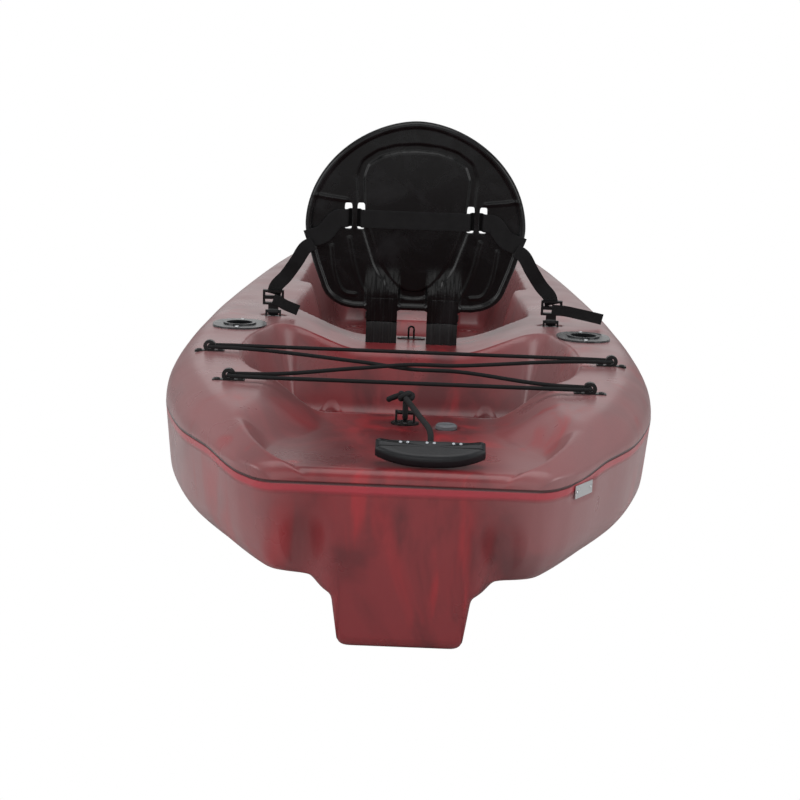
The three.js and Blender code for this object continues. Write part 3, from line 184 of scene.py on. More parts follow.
# Wells in the deck, as in the CAD part: the tank, the seat, the two legs' and the spine's
WELLS = [
    dict(centre=0, half=266, start=333, end=885, floor=150, corner=36, draft=0.26, foot=26,
         widths=[(0, 0.57), (0.05, 0.7), (0.176, 0.875), (0.34, 0.962), (0.51, 1), (0.7, 0.985),
                 (0.846, 0.93), (1, 0.86)]),
    dict(centre=0, half=222, start=1066, end=1610, floor=140, corner=60, draft=0.24, foot=34,
         widths=[(0, 0.86), (0.12, 0.97), (0.3, 1), (1, 0.95)]),
    *[dict(centre=centre, half=96, start=1545, end=2360, floor=118, corner=62, draft=0.2, foot=30,
           widths=[(0, 1), (0.5, 1), (1, 0.8)]) for centre in (148, -148)],
    dict(centre=0, half=62, start=1590, end=2250, floor=222, corner=24, draft=0.1, foot=16,
         widths=[(0, 1), (1, 0.9)]),
]
RIM_HEIGHT = 290.0
RIM_SOFT = 26.0


def soft_min(a, b, k):
    """The lower of two heights, with a parabolic fillet where they are within k of each other."""
    h = np.clip(k - np.abs(a - b), 0, None) / k
    return np.minimum(a, b) - h * h * k / 4


def well_height(well, x, y):
    """Height of a well's wall and floor: a rounded-box distance inwards from its outline, divided
    by the draft, filleted into the floor."""
    along = y - STERN
    share = np.clip((along - well["start"]) / (well["end"] - well["start"]), 0, 1)
    aside = well["half"] * follow(well["widths"], share) - np.abs(x - well["centre"])
    inside = np.minimum(along - well["start"], well["end"] - along)
    r = well["corner"]
    q1, q2 = r - aside, r - inside
    reach = np.sqrt(np.clip(q1, 0, None) ** 2 + np.clip(q2, 0, None) ** 2)
    distance = r - reach - np.minimum(np.maximum(q1, q2), 0)
    wall = RIM_HEIGHT - distance / well["draft"]
    return -soft_min(-wall, -np.full_like(wall, well["floor"]), well["foot"] * 2)


# Shallow oval seats for the fittings: place across and from the stern, half sizes, depth
HATCH, DRAIN, ANCHOR, HOLDER = (0, 2600), (54, 262), (252, 985), (297, 835)
POCKETS = [
    (*HATCH, 96.4, 96.4, 8.0), (*ANCHOR, 20.4, 15.4, 6.5), (-ANCHOR[0], ANCHOR[1], 20.4, 15.4, 6.5),
    (*DRAIN, 15.4, 15.4, 3.0),
]
POCKET_EDGE = 3.0


def deck_surface(x, y):
    """The finished deck: the plain deck, softly joined to each well, less the fitting seats."""
    z = deck_height(x, y)
    for well in WELLS:
        z = soft_min(z, well_height(well, x, y), RIM_SOFT)
    for centre, from_stern, half_x, half_y, depth in POCKETS:
        out = np.sqrt(((x - centre) / half_x) ** 2 + ((y - STERN - from_stern) / half_y) ** 2)
        z = z - depth * (1 - smooth(1.0, 1.0 + POCKET_EDGE / half_x, out))
    return z


def mesh_object(name, verts, faces, body, uv=None, attributes=None):
    """One smooth mesh in metres from arrays in millimetres, riding on a CAD body. Faces are rows
    of corner numbers, and attributes are numbers for each point."""
    mesh = bpy.data.meshes.new(name)
    verts = np.asarray(verts, float).reshape(-1, 3) / PER_METRE
    corners = np.asarray(faces, np.int64).ravel()
    totals = np.full(len(faces), faces.shape[1])
    mesh.vertices.add(len(verts))
    mesh.vertices.foreach_set("co", verts.ravel())
    mesh.loops.add(len(corners))
    mesh.loops.foreach_set("vertex_index", corners)
    mesh.polygons.add(len(totals))
    mesh.polygons.foreach_set("loop_start", np.cumsum(totals) - totals)
    mesh.polygons.foreach_set("loop_total", totals)
    mesh.update(calc_edges=True)
    mesh.polygons.foreach_set("use_smooth", np.ones(len(totals), bool))
    if uv is not None:
        layer = mesh.uv_layers.new(name="uv")
        layer.data.foreach_set("uv", np.asarray(uv, float).reshape(-1, 2)[corners].ravel())
    for key, values in (attributes or {}).items():
        layer = mesh.attributes.new(key, "FLOAT", "POINT")
        layer.data.foreach_set("value", np.asarray(values, np.float32).ravel())
    thing = bpy.data.objects.new(name, mesh)
    bpy.context.scene.collection.objects.link(thing)
    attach(thing, body)
    return thing


def grid_faces(rows, columns, first=0, flip=False, closed=False):
    """Quads over a grid of points, rows by columns, counted from first."""
    j, i = np.meshgrid(np.arange(columns if closed else columns - 1), np.arange(rows - 1))
    a = first + i * columns + j
    b = first + i * columns + (j + 1) % columns
    quads = np.stack([a, b, b + columns, a + columns], -1).reshape(-1, 4)
    return quads[:, ::-1] if flip else quads


# The hull's grids: rows as (from, to, step) along the length, and points across half a section
STERN_ROUND, STEM_ROUND = 15.0, 3.0
ROW_STEPS = [(STERN_ROUND, 1080, 5.2), (1080, 2420, 9.5), (2420, 2760, 5.0), (2760, LENGTH, 9.0)]
HALF_COLUMNS, CAP_ROWS, STEM_COLUMNS = 92, 60, 13
STERN_TURNS, BILGE_TURNS, SHOULDER_TURNS, SOFTENINGS = 8, 9, 16, 3
SEAT_LEAST = 0.01

# The data plate's recess, and the seam, which dips on to the transom
PLATE_FROM_STERN, PLATE_HEIGHT, PLATE_LONG, PLATE_HIGH = 66.0, 206.0, 52.0, 17.0
PLATE_RECESS, RECESS_EASE = 3.0, 6
SEAM_DIP, NO_SEAM = 140.0, 1000.0


def hull_rows():
    """Distances from the stern of the hull's sections: close at the rounded stern edge, the tank
    well and the hatch, wider elsewhere."""
    turn = np.linspace(0, np.pi / 2, STERN_TURNS)
    parts = [STERN_ROUND * (1 - np.cos(turn))]
    for low, high, step in ROW_STEPS:
        parts.append(np.linspace(low, high, int(round((high - low) / step)) + 1)[1:])
    return np.concatenate(parts)


def bottom_half(share):
    """One half of the bottom of each section, as in the CAD part, then resampled evenly along its
    length and smoothed so that its corners are moulded round."""
    width = half_width(share)
    seam = seam_height(share)
    keel = np.minimum(KEEL_HALF * follow(KEEL_WIDTH, share), width * KEEL_MOST)
    keel_z = follow(KEEL_RISE, share) * SEAM_HEIGHT
    channel_z = np.maximum(follow(CHANNEL_RISE, share) * SEAM_HEIGHT, keel_z + KEEL_EDGE)
    chine_z = follow(CHINE_RISE, share) * SEAM_HEIGHT
    bilge_run = np.minimum(BILGE_WIDTH, (width - keel) * BILGE_MOST)
    bilge_rise = np.minimum(BILGE_HEIGHT, (seam - chine_z) * BILGE_MOST)
    side = width - np.minimum(TUMBLEHOME, width * TUMBLEHOME_MOST)
    roof = keel + KEEL_DRAFT
    flat = roof + (side - bilge_run - roof) * FLAT_PLACE
    points = [
        (0 * keel, keel_z), (keel - KEEL_EDGE, keel_z), (keel, keel_z + KEEL_EDGE / 2), (roof, channel_z),
        (roof + (flat - roof) * ROOF_FLAT, channel_z), (flat, chine_z + (channel_z - chine_z) * FLAT_RISE),
        (flat + (side - bilge_run - flat) * CHINE_PLACE, chine_z),
    ]
    for turn in np.linspace(0, np.pi / 2, BILGE_TURNS):
        points.append((side - bilge_run * (1 - np.sin(turn)), chine_z + bilge_rise * (1 - np.cos(turn))))
    points.append((width, seam))
    outline = np.stack([np.stack(p, -1) for p in points], 1)
    step = np.linalg.norm(np.diff(outline, axis=1), axis=2)
    along = np.concatenate([np.zeros((len(share), 1)), np.cumsum(step, 1)], 1)
    target = along[:, -1:] * np.linspace(0, 1, HALF_COLUMNS + 1)[None, :]
    k = np.clip((along[:, None, :] <= target[:, :, None]).sum(2) - 1, 0, outline.shape[1] - 2)
    rows = np.arange(len(share))[:, None]
    t = ((target - along[rows, k]) / np.maximum(step[rows, k], TINY))[..., None]
    fine = outline[rows, k] * (1 - t) + outline[rows, k + 1] * t
    for _ in range(SOFTENINGS):
        mirror = fine[:, 1:2] * [-1, 1]
        padded = np.concatenate([mirror, fine, fine[:, -1:]], 1)
        soft = (padded[:, :-2] + 2 * padded[:, 1:-1] + padded[:, 2:]) / 4
        soft[:, -1] = fine[:, -1]
        soft[:, 0, 0] = 0
        fine = soft
    return fine


def deck_half(share):
    """Places across one half of the deck: even as far as the shoulder, then even steps of angle
    round the quarter ellipse to the seam."""
    shoulder = shoulder_of(half_width(share))[:, None]
    level = half_width(share)[:, None] - shoulder
    flat = level * np.linspace(0, 1, HALF_COLUMNS + 1 - SHOULDER_TURNS)
    angle = np.linspace(0, np.pi / 2, SHOULDER_TURNS + 1)[1:]
    return np.concatenate([flat, level + shoulder * np.sin(angle)], 1)


def both_sides(half):
    """A half section's points, mirrored to port and joined at the centre line."""
    return np.concatenate([half[:, :0:-1] * [-1, 1], half], 1)


def build_hull():
    """The hull as two grids that meet on the seam: sections across it, one behind the other, each
    drawn in near the stern so that the transom's edge is rounded, a grid over the transom, and one
    over the stem that swells by a half ellipse from side to side."""
    from_stern = hull_rows()
    share = from_stern / LENGTH
    rows = len(share)
    y = (from_stern + STERN)[:, None]
    low = both_sides(bottom_half(share))
    x_deck = both_sides(np.stack([deck_half(share)] * 2, -1))[..., 0]
    plain = np.stack([x_deck, deck_height(x_deck, y + 0 * x_deck)], -1)
    plain[:, [0, -1], 1] = seam_height(share)[:, None]
    inwards = np.clip(STERN_ROUND - from_stern, 0, None)
    drawn = STERN_ROUND - np.sqrt(np.clip(STERN_ROUND**2 - inwards**2, 0, None))
    narrower = (1 - drawn / half_width(share))[:, None]
    sink = plain[..., 1] - deck_surface(plain[..., 0], y + 0 * plain[..., 0])
    sink = np.where(sink > SEAT_LEAST, sink, 0)
    high = np.stack([plain[..., 0] * narrower, plain[..., 1] - drawn[:, None] - sink], -1)
    level = 1 - 2 * np.clip((seam_height(share)[:, None] - low[..., 1]) / SEAM_HEIGHT, 0, 1)
    low = np.stack([low[..., 0] * narrower, low[..., 1] - drawn[:, None] * level], -1)
    count = low.shape[1]

    def placed(section, base_y):
        out_y = base_y + stern_push(section[..., 0], base_y, section[..., 1])
        return np.stack([section[..., 0], out_y, section[..., 1]], -1)

    y_all = np.broadcast_to(y, low.shape[:2])
    recess = 1
    for centre, size, off in ((PLATE_FROM_STERN + STERN, PLATE_LONG / 2 + 2, y_all),
                              (PLATE_HEIGHT, PLATE_HIGH / 2 + 1, low[..., 1])):
        recess = recess * (1 - smooth(size, size + RECESS_EASE, np.abs(off - centre)))
    low[..., 0] -= PLATE_RECESS * recess * (low[..., 0] > KEEL_HALF)
    bottom = placed(low, y_all)
    deck = placed(high, y_all)
    t = np.linspace(0, 1, CAP_ROWS)[:, None, None]
    flat = low[0][None] * (1 - t) + high[0][None] * t
    cap = placed(flat, np.full(flat.shape[:2], STERN))
    half = count // 2
    stem = np.concatenate([low[-1, half:], high[-1, :half - 1:-1]])
    u = np.linspace(-1, 1, STEM_COLUMNS)
    bow = np.stack(np.broadcast_arrays(
        stem[:, :1] * u, STERN + LENGTH + STEM_ROUND * np.sqrt(1 - u**2), stem[:, 1:],
    ), -1)

    dip = STERN_ROUND * (1 - smooth(0, SEAM_DIP, from_stern))
    step = np.linalg.norm(np.diff(high, axis=1), axis=2)
    along = np.concatenate([np.zeros((rows, 1)), np.cumsum(step, 1)], 1)
    aside = np.minimum(along, along[:, -1:] - along) + (dip - drawn)[:, None]
    behind = length_run(np.stack([from_stern, drawn], 1))
    line = seam_height(share)[0] - STERN_ROUND
    deck_seam = np.minimum(aside, behind[:, None] + np.clip(high[0, :, 1] - line, 0, None))
    low_seam = low[..., 1] - (seam_height(share) - dip)[:, None]
    cap_seam = flat[..., 1] - line
    deck_verts = deck.reshape(-1, 3)
    deck_faces = opened(grid_faces(rows, count), deck_verts, DECK_HOLES)
    deck_object = mesh_object(
        "hull_deck", deck_verts, deck_faces, "hull_body", attributes={"seam": deck_seam / PER_METRE},
    )
    verts = np.concatenate([bottom.reshape(-1, 3), cap.reshape(-1, 3), bow.reshape(-1, 3)])
    faces = np.concatenate([
        opened(grid_faces(rows, count, flip=True), verts, SCUPPERS),
        grid_faces(CAP_ROWS, count, rows * count),
        grid_faces(len(stem), len(u), (rows + CAP_ROWS) * count, flip=True),
    ])
    seam = np.concatenate([low_seam.ravel(), cap_seam.ravel(), np.full(bow.size // 3, -NO_SEAM)])
    low_object = mesh_object("hull_bottom", verts, faces, "hull_body", attributes={"seam": seam / PER_METRE})
    return deck_object, low_object


# Holes through the hull's skin: place across and from the stern, radius
SCUPPER_HOLE, HOLDER_HOLE, HATCH_HOLE, DRAIN_HOLE = 16, 27, 79, 9.5
SCUPPERS = [
    (side * x, from_stern, SCUPPER_HOLE) for x, from_stern in ((135, 828), (120, 1150), (148, 2240))
    for side in (1, -1)
]
DECK_HOLES = SCUPPERS + [
    (*HOLDER, HOLDER_HOLE), (-HOLDER[0], HOLDER[1], HOLDER_HOLE), (*HATCH, HATCH_HOLE), (*DRAIN, DRAIN_HOLE),
]


def opened(faces, verts, holes):
    """The faces whose middle lies outside every hole."""
    middle = verts[faces].mean(1)
    keep = np.ones(len(faces), bool)
    for x, from_stern, radius in holes:
        keep &= np.hypot(middle[:, 0] - x, middle[:, 1] - STERN - from_stern) > radius
    return faces[keep]


def bottom_height(x, from_stern):
    """Height of the hull's underside at one place."""
    section = bottom_half(np.array([from_stern / LENGTH]))[0]
    return float(np.interp(abs(x), section[:, 0], section[:, 1]))


# Tools for the fittings, with the counts of points in a tube's round end, a slab's rounded edge,
# webbing's section, a fillet and the shortest curve
CAP_STEPS, EDGE_TURNS, WEB_COLUMNS, WEB_TURNS, FILLET_POINTS, CURVE_LEAST = 4, 7, 13, 7, 6, 8
FACE_SHARES = (0.0, 0.35, 0.7, 0.9)
FILLET_MOST = 0.45


def length_run(points):
    """The length from the first point to each one, along the line through them."""
    return np.concatenate([[0], np.cumsum(np.linalg.norm(np.diff(points, axis=0), axis=1))])


def along_curve(points, step, closed=False):
    """Points spread evenly along a smooth curve through the given ones: each coordinate follows a
    monotone cubic of the length run, so the curve never swings wide of its points."""
    points = np.asarray(points, float)
    if closed:
        points = np.concatenate([points[-3:], points, points[:4]])
    run = length_run(points)
    low, high = (run[3], run[-4]) if closed else (0, run[-1])
    at = np.linspace(low, high, max(int((high - low) / step), CURVE_LEAST) + 1)
    if closed:
        at = at[:-1]
    return np.stack([follow(np.stack([run, column], 1), at) for column in points.T], 1)


def unit(vectors):
    return vectors / np.maximum(np.linalg.norm(vectors, axis=-1, keepdims=True), TINY)


def tangents(route, closed=False):
    if closed:
        return unit(np.roll(route, -1, 0) - np.roll(route, 1, 0))
    return unit(np.gradient(route, axis=0))


def tube_parts(route, radius, around, guide, closed=False):
    """A round tube: circles of points square to the route, with rounded ends where it is open.
    The UV runs along the tube in metres and once around it."""
    t = tangents(route, closed)
    side = unit(np.cross(t, guide))
    up = np.cross(side, t)
    angle = np.linspace(0, 2 * np.pi, around + 1)
    wide = np.full(len(route), float(radius))
    centre = route
    if not closed:
        turn = np.linspace(0, np.pi / 2, CAP_STEPS, endpoint=False)
        grow = np.sin(turn) * radius
        back = (1 - np.cos(turn)) * radius
        first = route[0] + t[0] * back[:, None]
        last = (route[-1] - t[-1] * back[:, None])[::-1]
        centre = np.concatenate([first, route[1:-1], last])
        wide = np.concatenate([grow, wide[1:-1], grow[::-1]])
        pick = np.clip(np.arange(len(centre)) - CAP_STEPS + 1, 0, len(route) - 1)
        side, up = side[pick], up[pick]
    ring = side[:, None] * np.cos(angle)[:, None] + up[:, None] * np.sin(angle)[:, None]
    verts = centre[:, None] + ring * wide[:, None, None]
    if closed:
        verts = np.concatenate([verts, verts[:1]])
        centre = np.concatenate([centre, centre[:1]])
    uv = np.stack(np.broadcast_arrays(length_run(centre)[:, None] / PER_METRE, angle / (2 * np.pi)), -1)
    rows = len(verts)
    return verts.reshape(-1, 3), grid_faces(rows, around + 1, flip=True), uv.reshape(-1, 2)


def changed(parts, change):
    """The same parts with their points put through a function."""
    return change(parts[0]), *parts[1:]


def joined_parts(parts):
    """Several (verts, faces, uv) joined into one."""
    first = np.cumsum([0] + [len(p[0]) for p in parts])
    return (
        np.concatenate([p[0] for p in parts]),
        np.concatenate([p[1] + n for p, n in zip(parts, first)]),
        np.concatenate([p[2] for p in parts]),
    )


def ribbon_parts(stations, across, wide, thick, step=2.0):
    """Flat webbing along smooth stations: its section is a thin rectangle whose two edges are
    half-round, and the UV runs along and across it in metres."""
    stations = np.asarray(stations, float)
    route = along_curve(stations, step)
    run, given = length_run(route), length_run(stations)
    given *= run[-1] / given[-1]
    guide = np.stack([np.interp(run, given, column) for column in np.asarray(across, float).T], 1)
    t = tangents(route)
    side = unit(guide - t * (guide * t).sum(1, keepdims=True))
    face = np.cross(t, side)
    flat = np.linspace(-1, 1, WEB_COLUMNS) * (wide - thick) / 2
    turn = np.linspace(-np.pi / 2, np.pi / 2, WEB_TURNS)[1:-1]
    round_out = (wide - thick) / 2 + np.cos(turn) * thick / 2
    level = np.full(WEB_COLUMNS, 0.5)
    s = np.concatenate([flat, round_out, flat[::-1], -round_out, flat[:1]])
    f = np.concatenate([-level, np.sin(turn) / 2, level, -np.sin(turn) / 2, -level[:1]]) * thick
    verts = route[:, None] + side[:, None] * s[:, None] + face[:, None] * f[:, None]
    first, last = [(route[k] + side[k] * s[:, None])[None] for k in (0, -1)]
    verts = np.concatenate([first, verts, last])
    run = np.concatenate([run[:1], run, run[-1:]])
    uv = np.stack(np.broadcast_arrays(run[:, None], s), -1) / PER_METRE
    return verts.reshape(-1, 3), grid_faces(len(verts), len(s)), uv.reshape(-1, 2)


def filleted(profile, radius):
    """A profile with each inner corner replaced by a quadratic curve that starts and ends radius
    away, or less where its sides are short."""
    points = np.asarray(profile, float)
    out = [points[:1]]
    t = np.linspace(0, 1, FILLET_POINTS)[:, None]
    for before, corner, after in zip(points[:-2], points[1:-1], points[2:]):
        a, b = before - corner, after - corner
        la, lb = np.linalg.norm(a), np.linalg.norm(b)
        r = min(radius, la * FILLET_MOST, lb * FILLET_MOST)
        p, q = corner + a * r / la, corner + b * r / lb
        out.append(p * (1 - t) ** 2 + corner * 2 * t * (1 - t) + q * t**2)
    out.append(points[-1:])
    return np.concatenate(out)


def lathe_parts(profile, around):
    """A profile of (radius, height) turned about the Z axis, its UV round and along it in metres."""
    profile = np.asarray(profile, float)
    angle = np.linspace(0, 2 * np.pi, around + 1)
    r, z = profile.T
    verts = np.stack([r[:, None] * np.cos(angle), r[:, None] * np.sin(angle), z[:, None] + 0 * angle], -1)
    uv = np.stack(np.broadcast_arrays(angle * r.max(), length_run(profile)[:, None]), -1) / PER_METRE
    return verts.reshape(-1, 3), grid_faces(len(profile), around + 1), uv.reshape(-1, 2)


def slab_parts(outline, low, high, fillet):
    """A flat body between two heights over an outline that is star-shaped about its middle: rings
    shrink towards the middle on both faces, with quarter-round edges between them and the side."""
    outline = np.asarray(outline, float)
    d = unit(np.roll(outline, -1, 0) - np.roll(outline, 1, 0))
    inward = np.stack([-d[:, 1], d[:, 0]], -1)
    turn = np.linspace(0, np.pi / 2, EDGE_TURNS)
    rings, heights = [], []
    for c, s in zip(np.cos(turn), np.sin(turn)):
        rings.append(outline + inward * fillet * (1 - s))
        heights.append(low + fillet * (1 - c))
    for c, s in zip(np.cos(turn), np.sin(turn)):
        rings.append(outline + inward * fillet * (1 - c))
        heights.append(high - fillet + fillet * s)
    middle = outline.mean(0)
    floor = [middle + (rings[0] - middle) * share for share in FACE_SHARES]
    roof = [middle + (rings[-1] - middle) * share for share in FACE_SHARES[::-1]]
    rings = floor + rings + roof
    heights = [low] * len(floor) + heights + [high] * len(roof)
    verts = [np.column_stack([ring, np.full(len(ring), height)]) for ring, height in zip(rings, heights)]
    verts = np.concatenate(verts)
    return verts, grid_faces(len(rings), len(outline), closed=True), verts[:, :2] / PER_METRE


def oval(half_x, half_y, count, power):
    """A superellipse, counter-clockwise."""
    angle = np.linspace(0, 2 * np.pi, count, endpoint=False)
    circle = np.stack([np.cos(angle), np.sin(angle)], -1)
    return np.array([half_x, half_y]) * np.sign(circle) * np.abs(circle) ** (2 / power)


def turned_about_x(points, angle):
    c, s = np.cos(angle), np.sin(angle)
    x, y, z = np.asarray(points, float).T
    return np.stack([x, y * c - z * s, y * s + z * c], -1)


def deck_frame(x, from_stern, sunk):
    """The frame of a fitting on the deck, as in the CAD part: origin, and the three axes as rows."""
    y = from_stern + STERN
    step = SHOULDER / 8
    slope_x = (deck_height(x + step, y) - deck_height(x - step, y)) / (2 * step)
    slope_y = (deck_height(x, y + step) - deck_height(x, y - step)) / (2 * step)
    normal = unit(np.array([-slope_x, -slope_y, 1.0]))
    across = unit(np.array([1.0, 0.0, slope_x]))
    origin = np.array([x, y, deck_height(x, y)]) - normal * sunk
    return origin, np.stack([across, np.cross(normal, across), normal])


def in_frame(points, place):
    origin, axes = place
    return np.asarray(points, float) @ axes + origin


SEAT_FROM_STERN = 985.0
HINGE_HEIGHT = 306.0
SEAT_LEAN = math.radians(8)
SEAT_Y = STERN + SEAT_FROM_STERN


def in_seat(points):
    """Points of the seat back's own frame, in the row's frame."""
    return turned_about_x(points, SEAT_LEAN) + np.array([0, SEAT_Y, HINGE_HEIGHT])


def add_piece(name, parts, body, look, *nodes, attributes=None):
    """A finished piece from its parts, in one look, standing for the named CAD nodes."""
    verts, faces, uv = parts
    thing = mesh_object(name, verts, faces, body, uv=uv, attributes=attributes)
    thing.data.materials.append(LOOKS[look])
    if nodes:
        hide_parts(*nodes)
    return thing


# Shader tools


def feed(tree, node, inputs):
    """Sets a node's inputs to values, or links them to sockets."""
    for key, value in inputs.items():
        if isinstance(value, bpy.types.NodeSocket):
            tree.links.new(value, node.inputs[key])
        else:
            node.inputs[key].default_value = value


def put(tree, kind, inputs=None, **settings):
    """A node with its settings made and its inputs fed."""
    node = tree.nodes.new(kind)
    for key, value in settings.items():
        setattr(node, key, value)
    feed(tree, node, inputs or {})
    return node


def maths(tree, operation, *values):
    node = put(tree, "ShaderNodeMath", dict(enumerate(values)), operation=operation)
    return node.outputs[0]


def ramp(tree, value, low, high):
    """The smooth step of a value from 0 at low to 1 at high."""
    node = put(
        tree, "ShaderNodeMapRange",
        {"Value": value, "From Min": low, "From Max": high, "To Min": 0.0, "To Max": 1.0},
        interpolation_type="SMOOTHSTEP",
    )
    return node.outputs["Result"]


def blend_colour(tree, share, first, second):
    """The colour between two by a share, from the mix node's sockets for colours."""
    node = put(tree, "ShaderNodeMix", {0: share, 6: first, 7: second}, data_type="RGBA", clamp_factor=True)
    return node.outputs[2]


BLACK = (0, 0, 0, 1)
PALE_SHARE = 0.025


def effect(name, colours, numbers, vectors=()):
    """An empty node group with the given inputs, its two end nodes, and outputs for a colour, a
    roughness and a height."""
    tree = bpy.data.node_groups.new(name, "ShaderNodeTree")
    for label in vectors:
        tree.interface.new_socket(label, in_out="INPUT", socket_type="NodeSocketVector")
    for label in colours:
        tree.interface.new_socket(label, in_out="INPUT", socket_type="NodeSocketColor").default_value = BLACK
    for label, value in numbers.items():
        tree.interface.new_socket(label, in_out="INPUT", socket_type="NodeSocketFloat").default_value = value
    for label, kind in (("Color", "Color"), ("Roughness", "Float"), ("Height", "Float")):
        tree.interface.new_socket(label, in_out="OUTPUT", socket_type="NodeSocket" + kind)
    return tree, tree.nodes.new("NodeGroupInput").outputs, tree.nodes.new("NodeGroupOutput")


def noise(tree, vector, scale, detail=3.0, rough=0.5, twist=0.0):
    node = put(
        tree, "ShaderNodeTexNoise",
        {"Vector": vector, "Scale": scale, "Detail": detail, "Roughness": rough, "Distortion": twist},
    )
    return node.outputs["Fac"]


# Marbling: each noise's scale, detail, roughness and twist, its stretch, and where a share of
# colour starts and ends in it
SWIRL, STREAK, CLOUD = (5.5, 4.0, 0.55, 1.6), (16.0, 3.0, 0.5, 0.7), (2.2, 2.0, 0.5, 0.4)
FINE, PEEL, POLISH = (190.0, 2.0), (42.0, 3.0), (11.0, 4.0)
SWIRL_STRETCH, STREAK_STRETCH = (1.0, 0.55, 0.7), (1.0, 0.7, 0.22)
DARK_AT, STREAK_AT, CLOUD_AT, ASIDE_AT = (0.42, 0.62), (0.54, 0.72), (0.36, 0.62), (0.1, 0.27)
ASIDE_WANDER, STREAK_FADE, PAINTED_SHEEN_MOST, UNEVEN, PEEL_SHARE = 0.24, 0.7, 0.75, 0.22, 0.7


def marbling_group():
    """Swirled colour of rotomoulded plastic: warped noise splits it into a dark, a middle and a
    bright share, and towards the sides a pale grey-pink is painted in as a painted sheen of white
    light at a grazing angle, with a fine orange-peel height and slightly uneven polish."""
    tree, enter, leave = effect(
        "marbling", ("Dark", "Middle", "Bright", "Pale"), {"Streaks": 0.5, "Roughness": 0.35},
    )
    place = put(tree, "ShaderNodeTexCoord").outputs["Object"]
    stretched = put(tree, "ShaderNodeMapping", {"Vector": place, "Scale": SWIRL_STRETCH}).outputs[0]
    swirl = noise(tree, stretched, *SWIRL)
    upright = put(tree, "ShaderNodeMapping", {"Vector": place, "Scale": STREAK_STRETCH}).outputs[0]
    streak = noise(tree, upright, *STREAK)
    cloud = noise(tree, place, *CLOUD)
    dark = ramp(tree, swirl, *DARK_AT)
    colour = blend_colour(tree, dark, enter["Middle"], enter["Dark"])
    bright = maths(tree, "MULTIPLY", ramp(tree, streak, *STREAK_AT), enter["Streaks"])
    bright = maths(tree, "MULTIPLY", bright, ramp(tree, cloud, *CLOUD_AT))
    colour = blend_colour(tree, bright, colour, enter["Bright"])
    # Towards the sides the colour is painted paler: a painted sheen standing for white light reflected at a
    # grazing angle, weaker where the bright streaks are
    aside = maths(tree, "ABSOLUTE", put(tree, "ShaderNodeSeparateXYZ", {"Vector": place}).outputs["X"])
    aside = maths(tree, "ADD", aside, maths(tree, "MULTIPLY_ADD", cloud, ASIDE_WANDER, -ASIDE_WANDER / 2))
    faded = maths(tree, "MULTIPLY_ADD", bright, -STREAK_FADE, PAINTED_SHEEN_MOST)
    pale = maths(tree, "MULTIPLY", ramp(tree, aside, *ASIDE_AT), faded)
    colour = blend_colour(tree, pale, colour, enter["Pale"])
    fine = maths(tree, "MULTIPLY", noise(tree, place, *FINE), 1 - PEEL_SHARE)
    height = maths(tree, "MULTIPLY_ADD", noise(tree, place, *PEEL), PEEL_SHARE, fine)
    uneven = maths(tree, "MULTIPLY_ADD", noise(tree, place, *POLISH), UNEVEN, -UNEVEN / 2)
    rough = maths(tree, "ADD", enter["Roughness"], uneven)
    feed(tree, leave, {"Color": colour, "Roughness": rough, "Height": height})
    return tree


# The third noise and the second colour here are for the painted highlight on the yarns' crowns
PATCHES, RUBBING, YARN_SHEEN_NOISE = (14.0, 5.0, 0.6, 0.5), (31.0, 4.0, 0.6), (60.0, 4.0, 0.6)
BLOOM_AT, RUBBED_AT, RUBBED_GLOSS = (0.42, 0.75), (0.55, 0.75), 0.12
BLOOM_COLOUR, YARN_SHEEN_COLOUR = (0.75, 0.78, 0.85, 1), (0.8, 0.8, 0.82, 1)


def grain_group():
    """Moulded plastic or rubber: a pebbled grain, a faint bloom of paler patches, and rubbed spots
    that are a little glossier."""
    tree, enter, leave = effect(
        "moulded_grain", ("Colour",), {"Grain": 700.0, "Bloom": 0.3, "Roughness": 0.45},
    )
    place = put(tree, "ShaderNodeTexCoord").outputs["Object"]
    cells = put(tree, "ShaderNodeTexVoronoi", {"Vector": place, "Scale": enter["Grain"]})
    patches = noise(tree, place, *PATCHES)
    paler = blend_colour(tree, PALE_SHARE, enter["Colour"], BLOOM_COLOUR)
    share = maths(tree, "MULTIPLY", ramp(tree, patches, *BLOOM_AT), enter["Bloom"])
    colour = blend_colour(tree, share, enter["Colour"], paler)
    rubbed = ramp(tree, noise(tree, place, *RUBBING), *RUBBED_AT)
    rough = maths(tree, "MULTIPLY_ADD", rubbed, -RUBBED_GLOSS, enter["Roughness"])
    feed(tree, leave, {"Color": colour, "Roughness": rough, "Height": cells.outputs["Distance"]})
    return tree


# How much the yarn crowns are painted paler as a painted highlight, and how unevenly
YARN_UNDER, YARN_POWER, YARN_SHEEN_SPREAD, YARN_SHEEN_LEAST = 0.92, 2.0, 0.5, 0.25


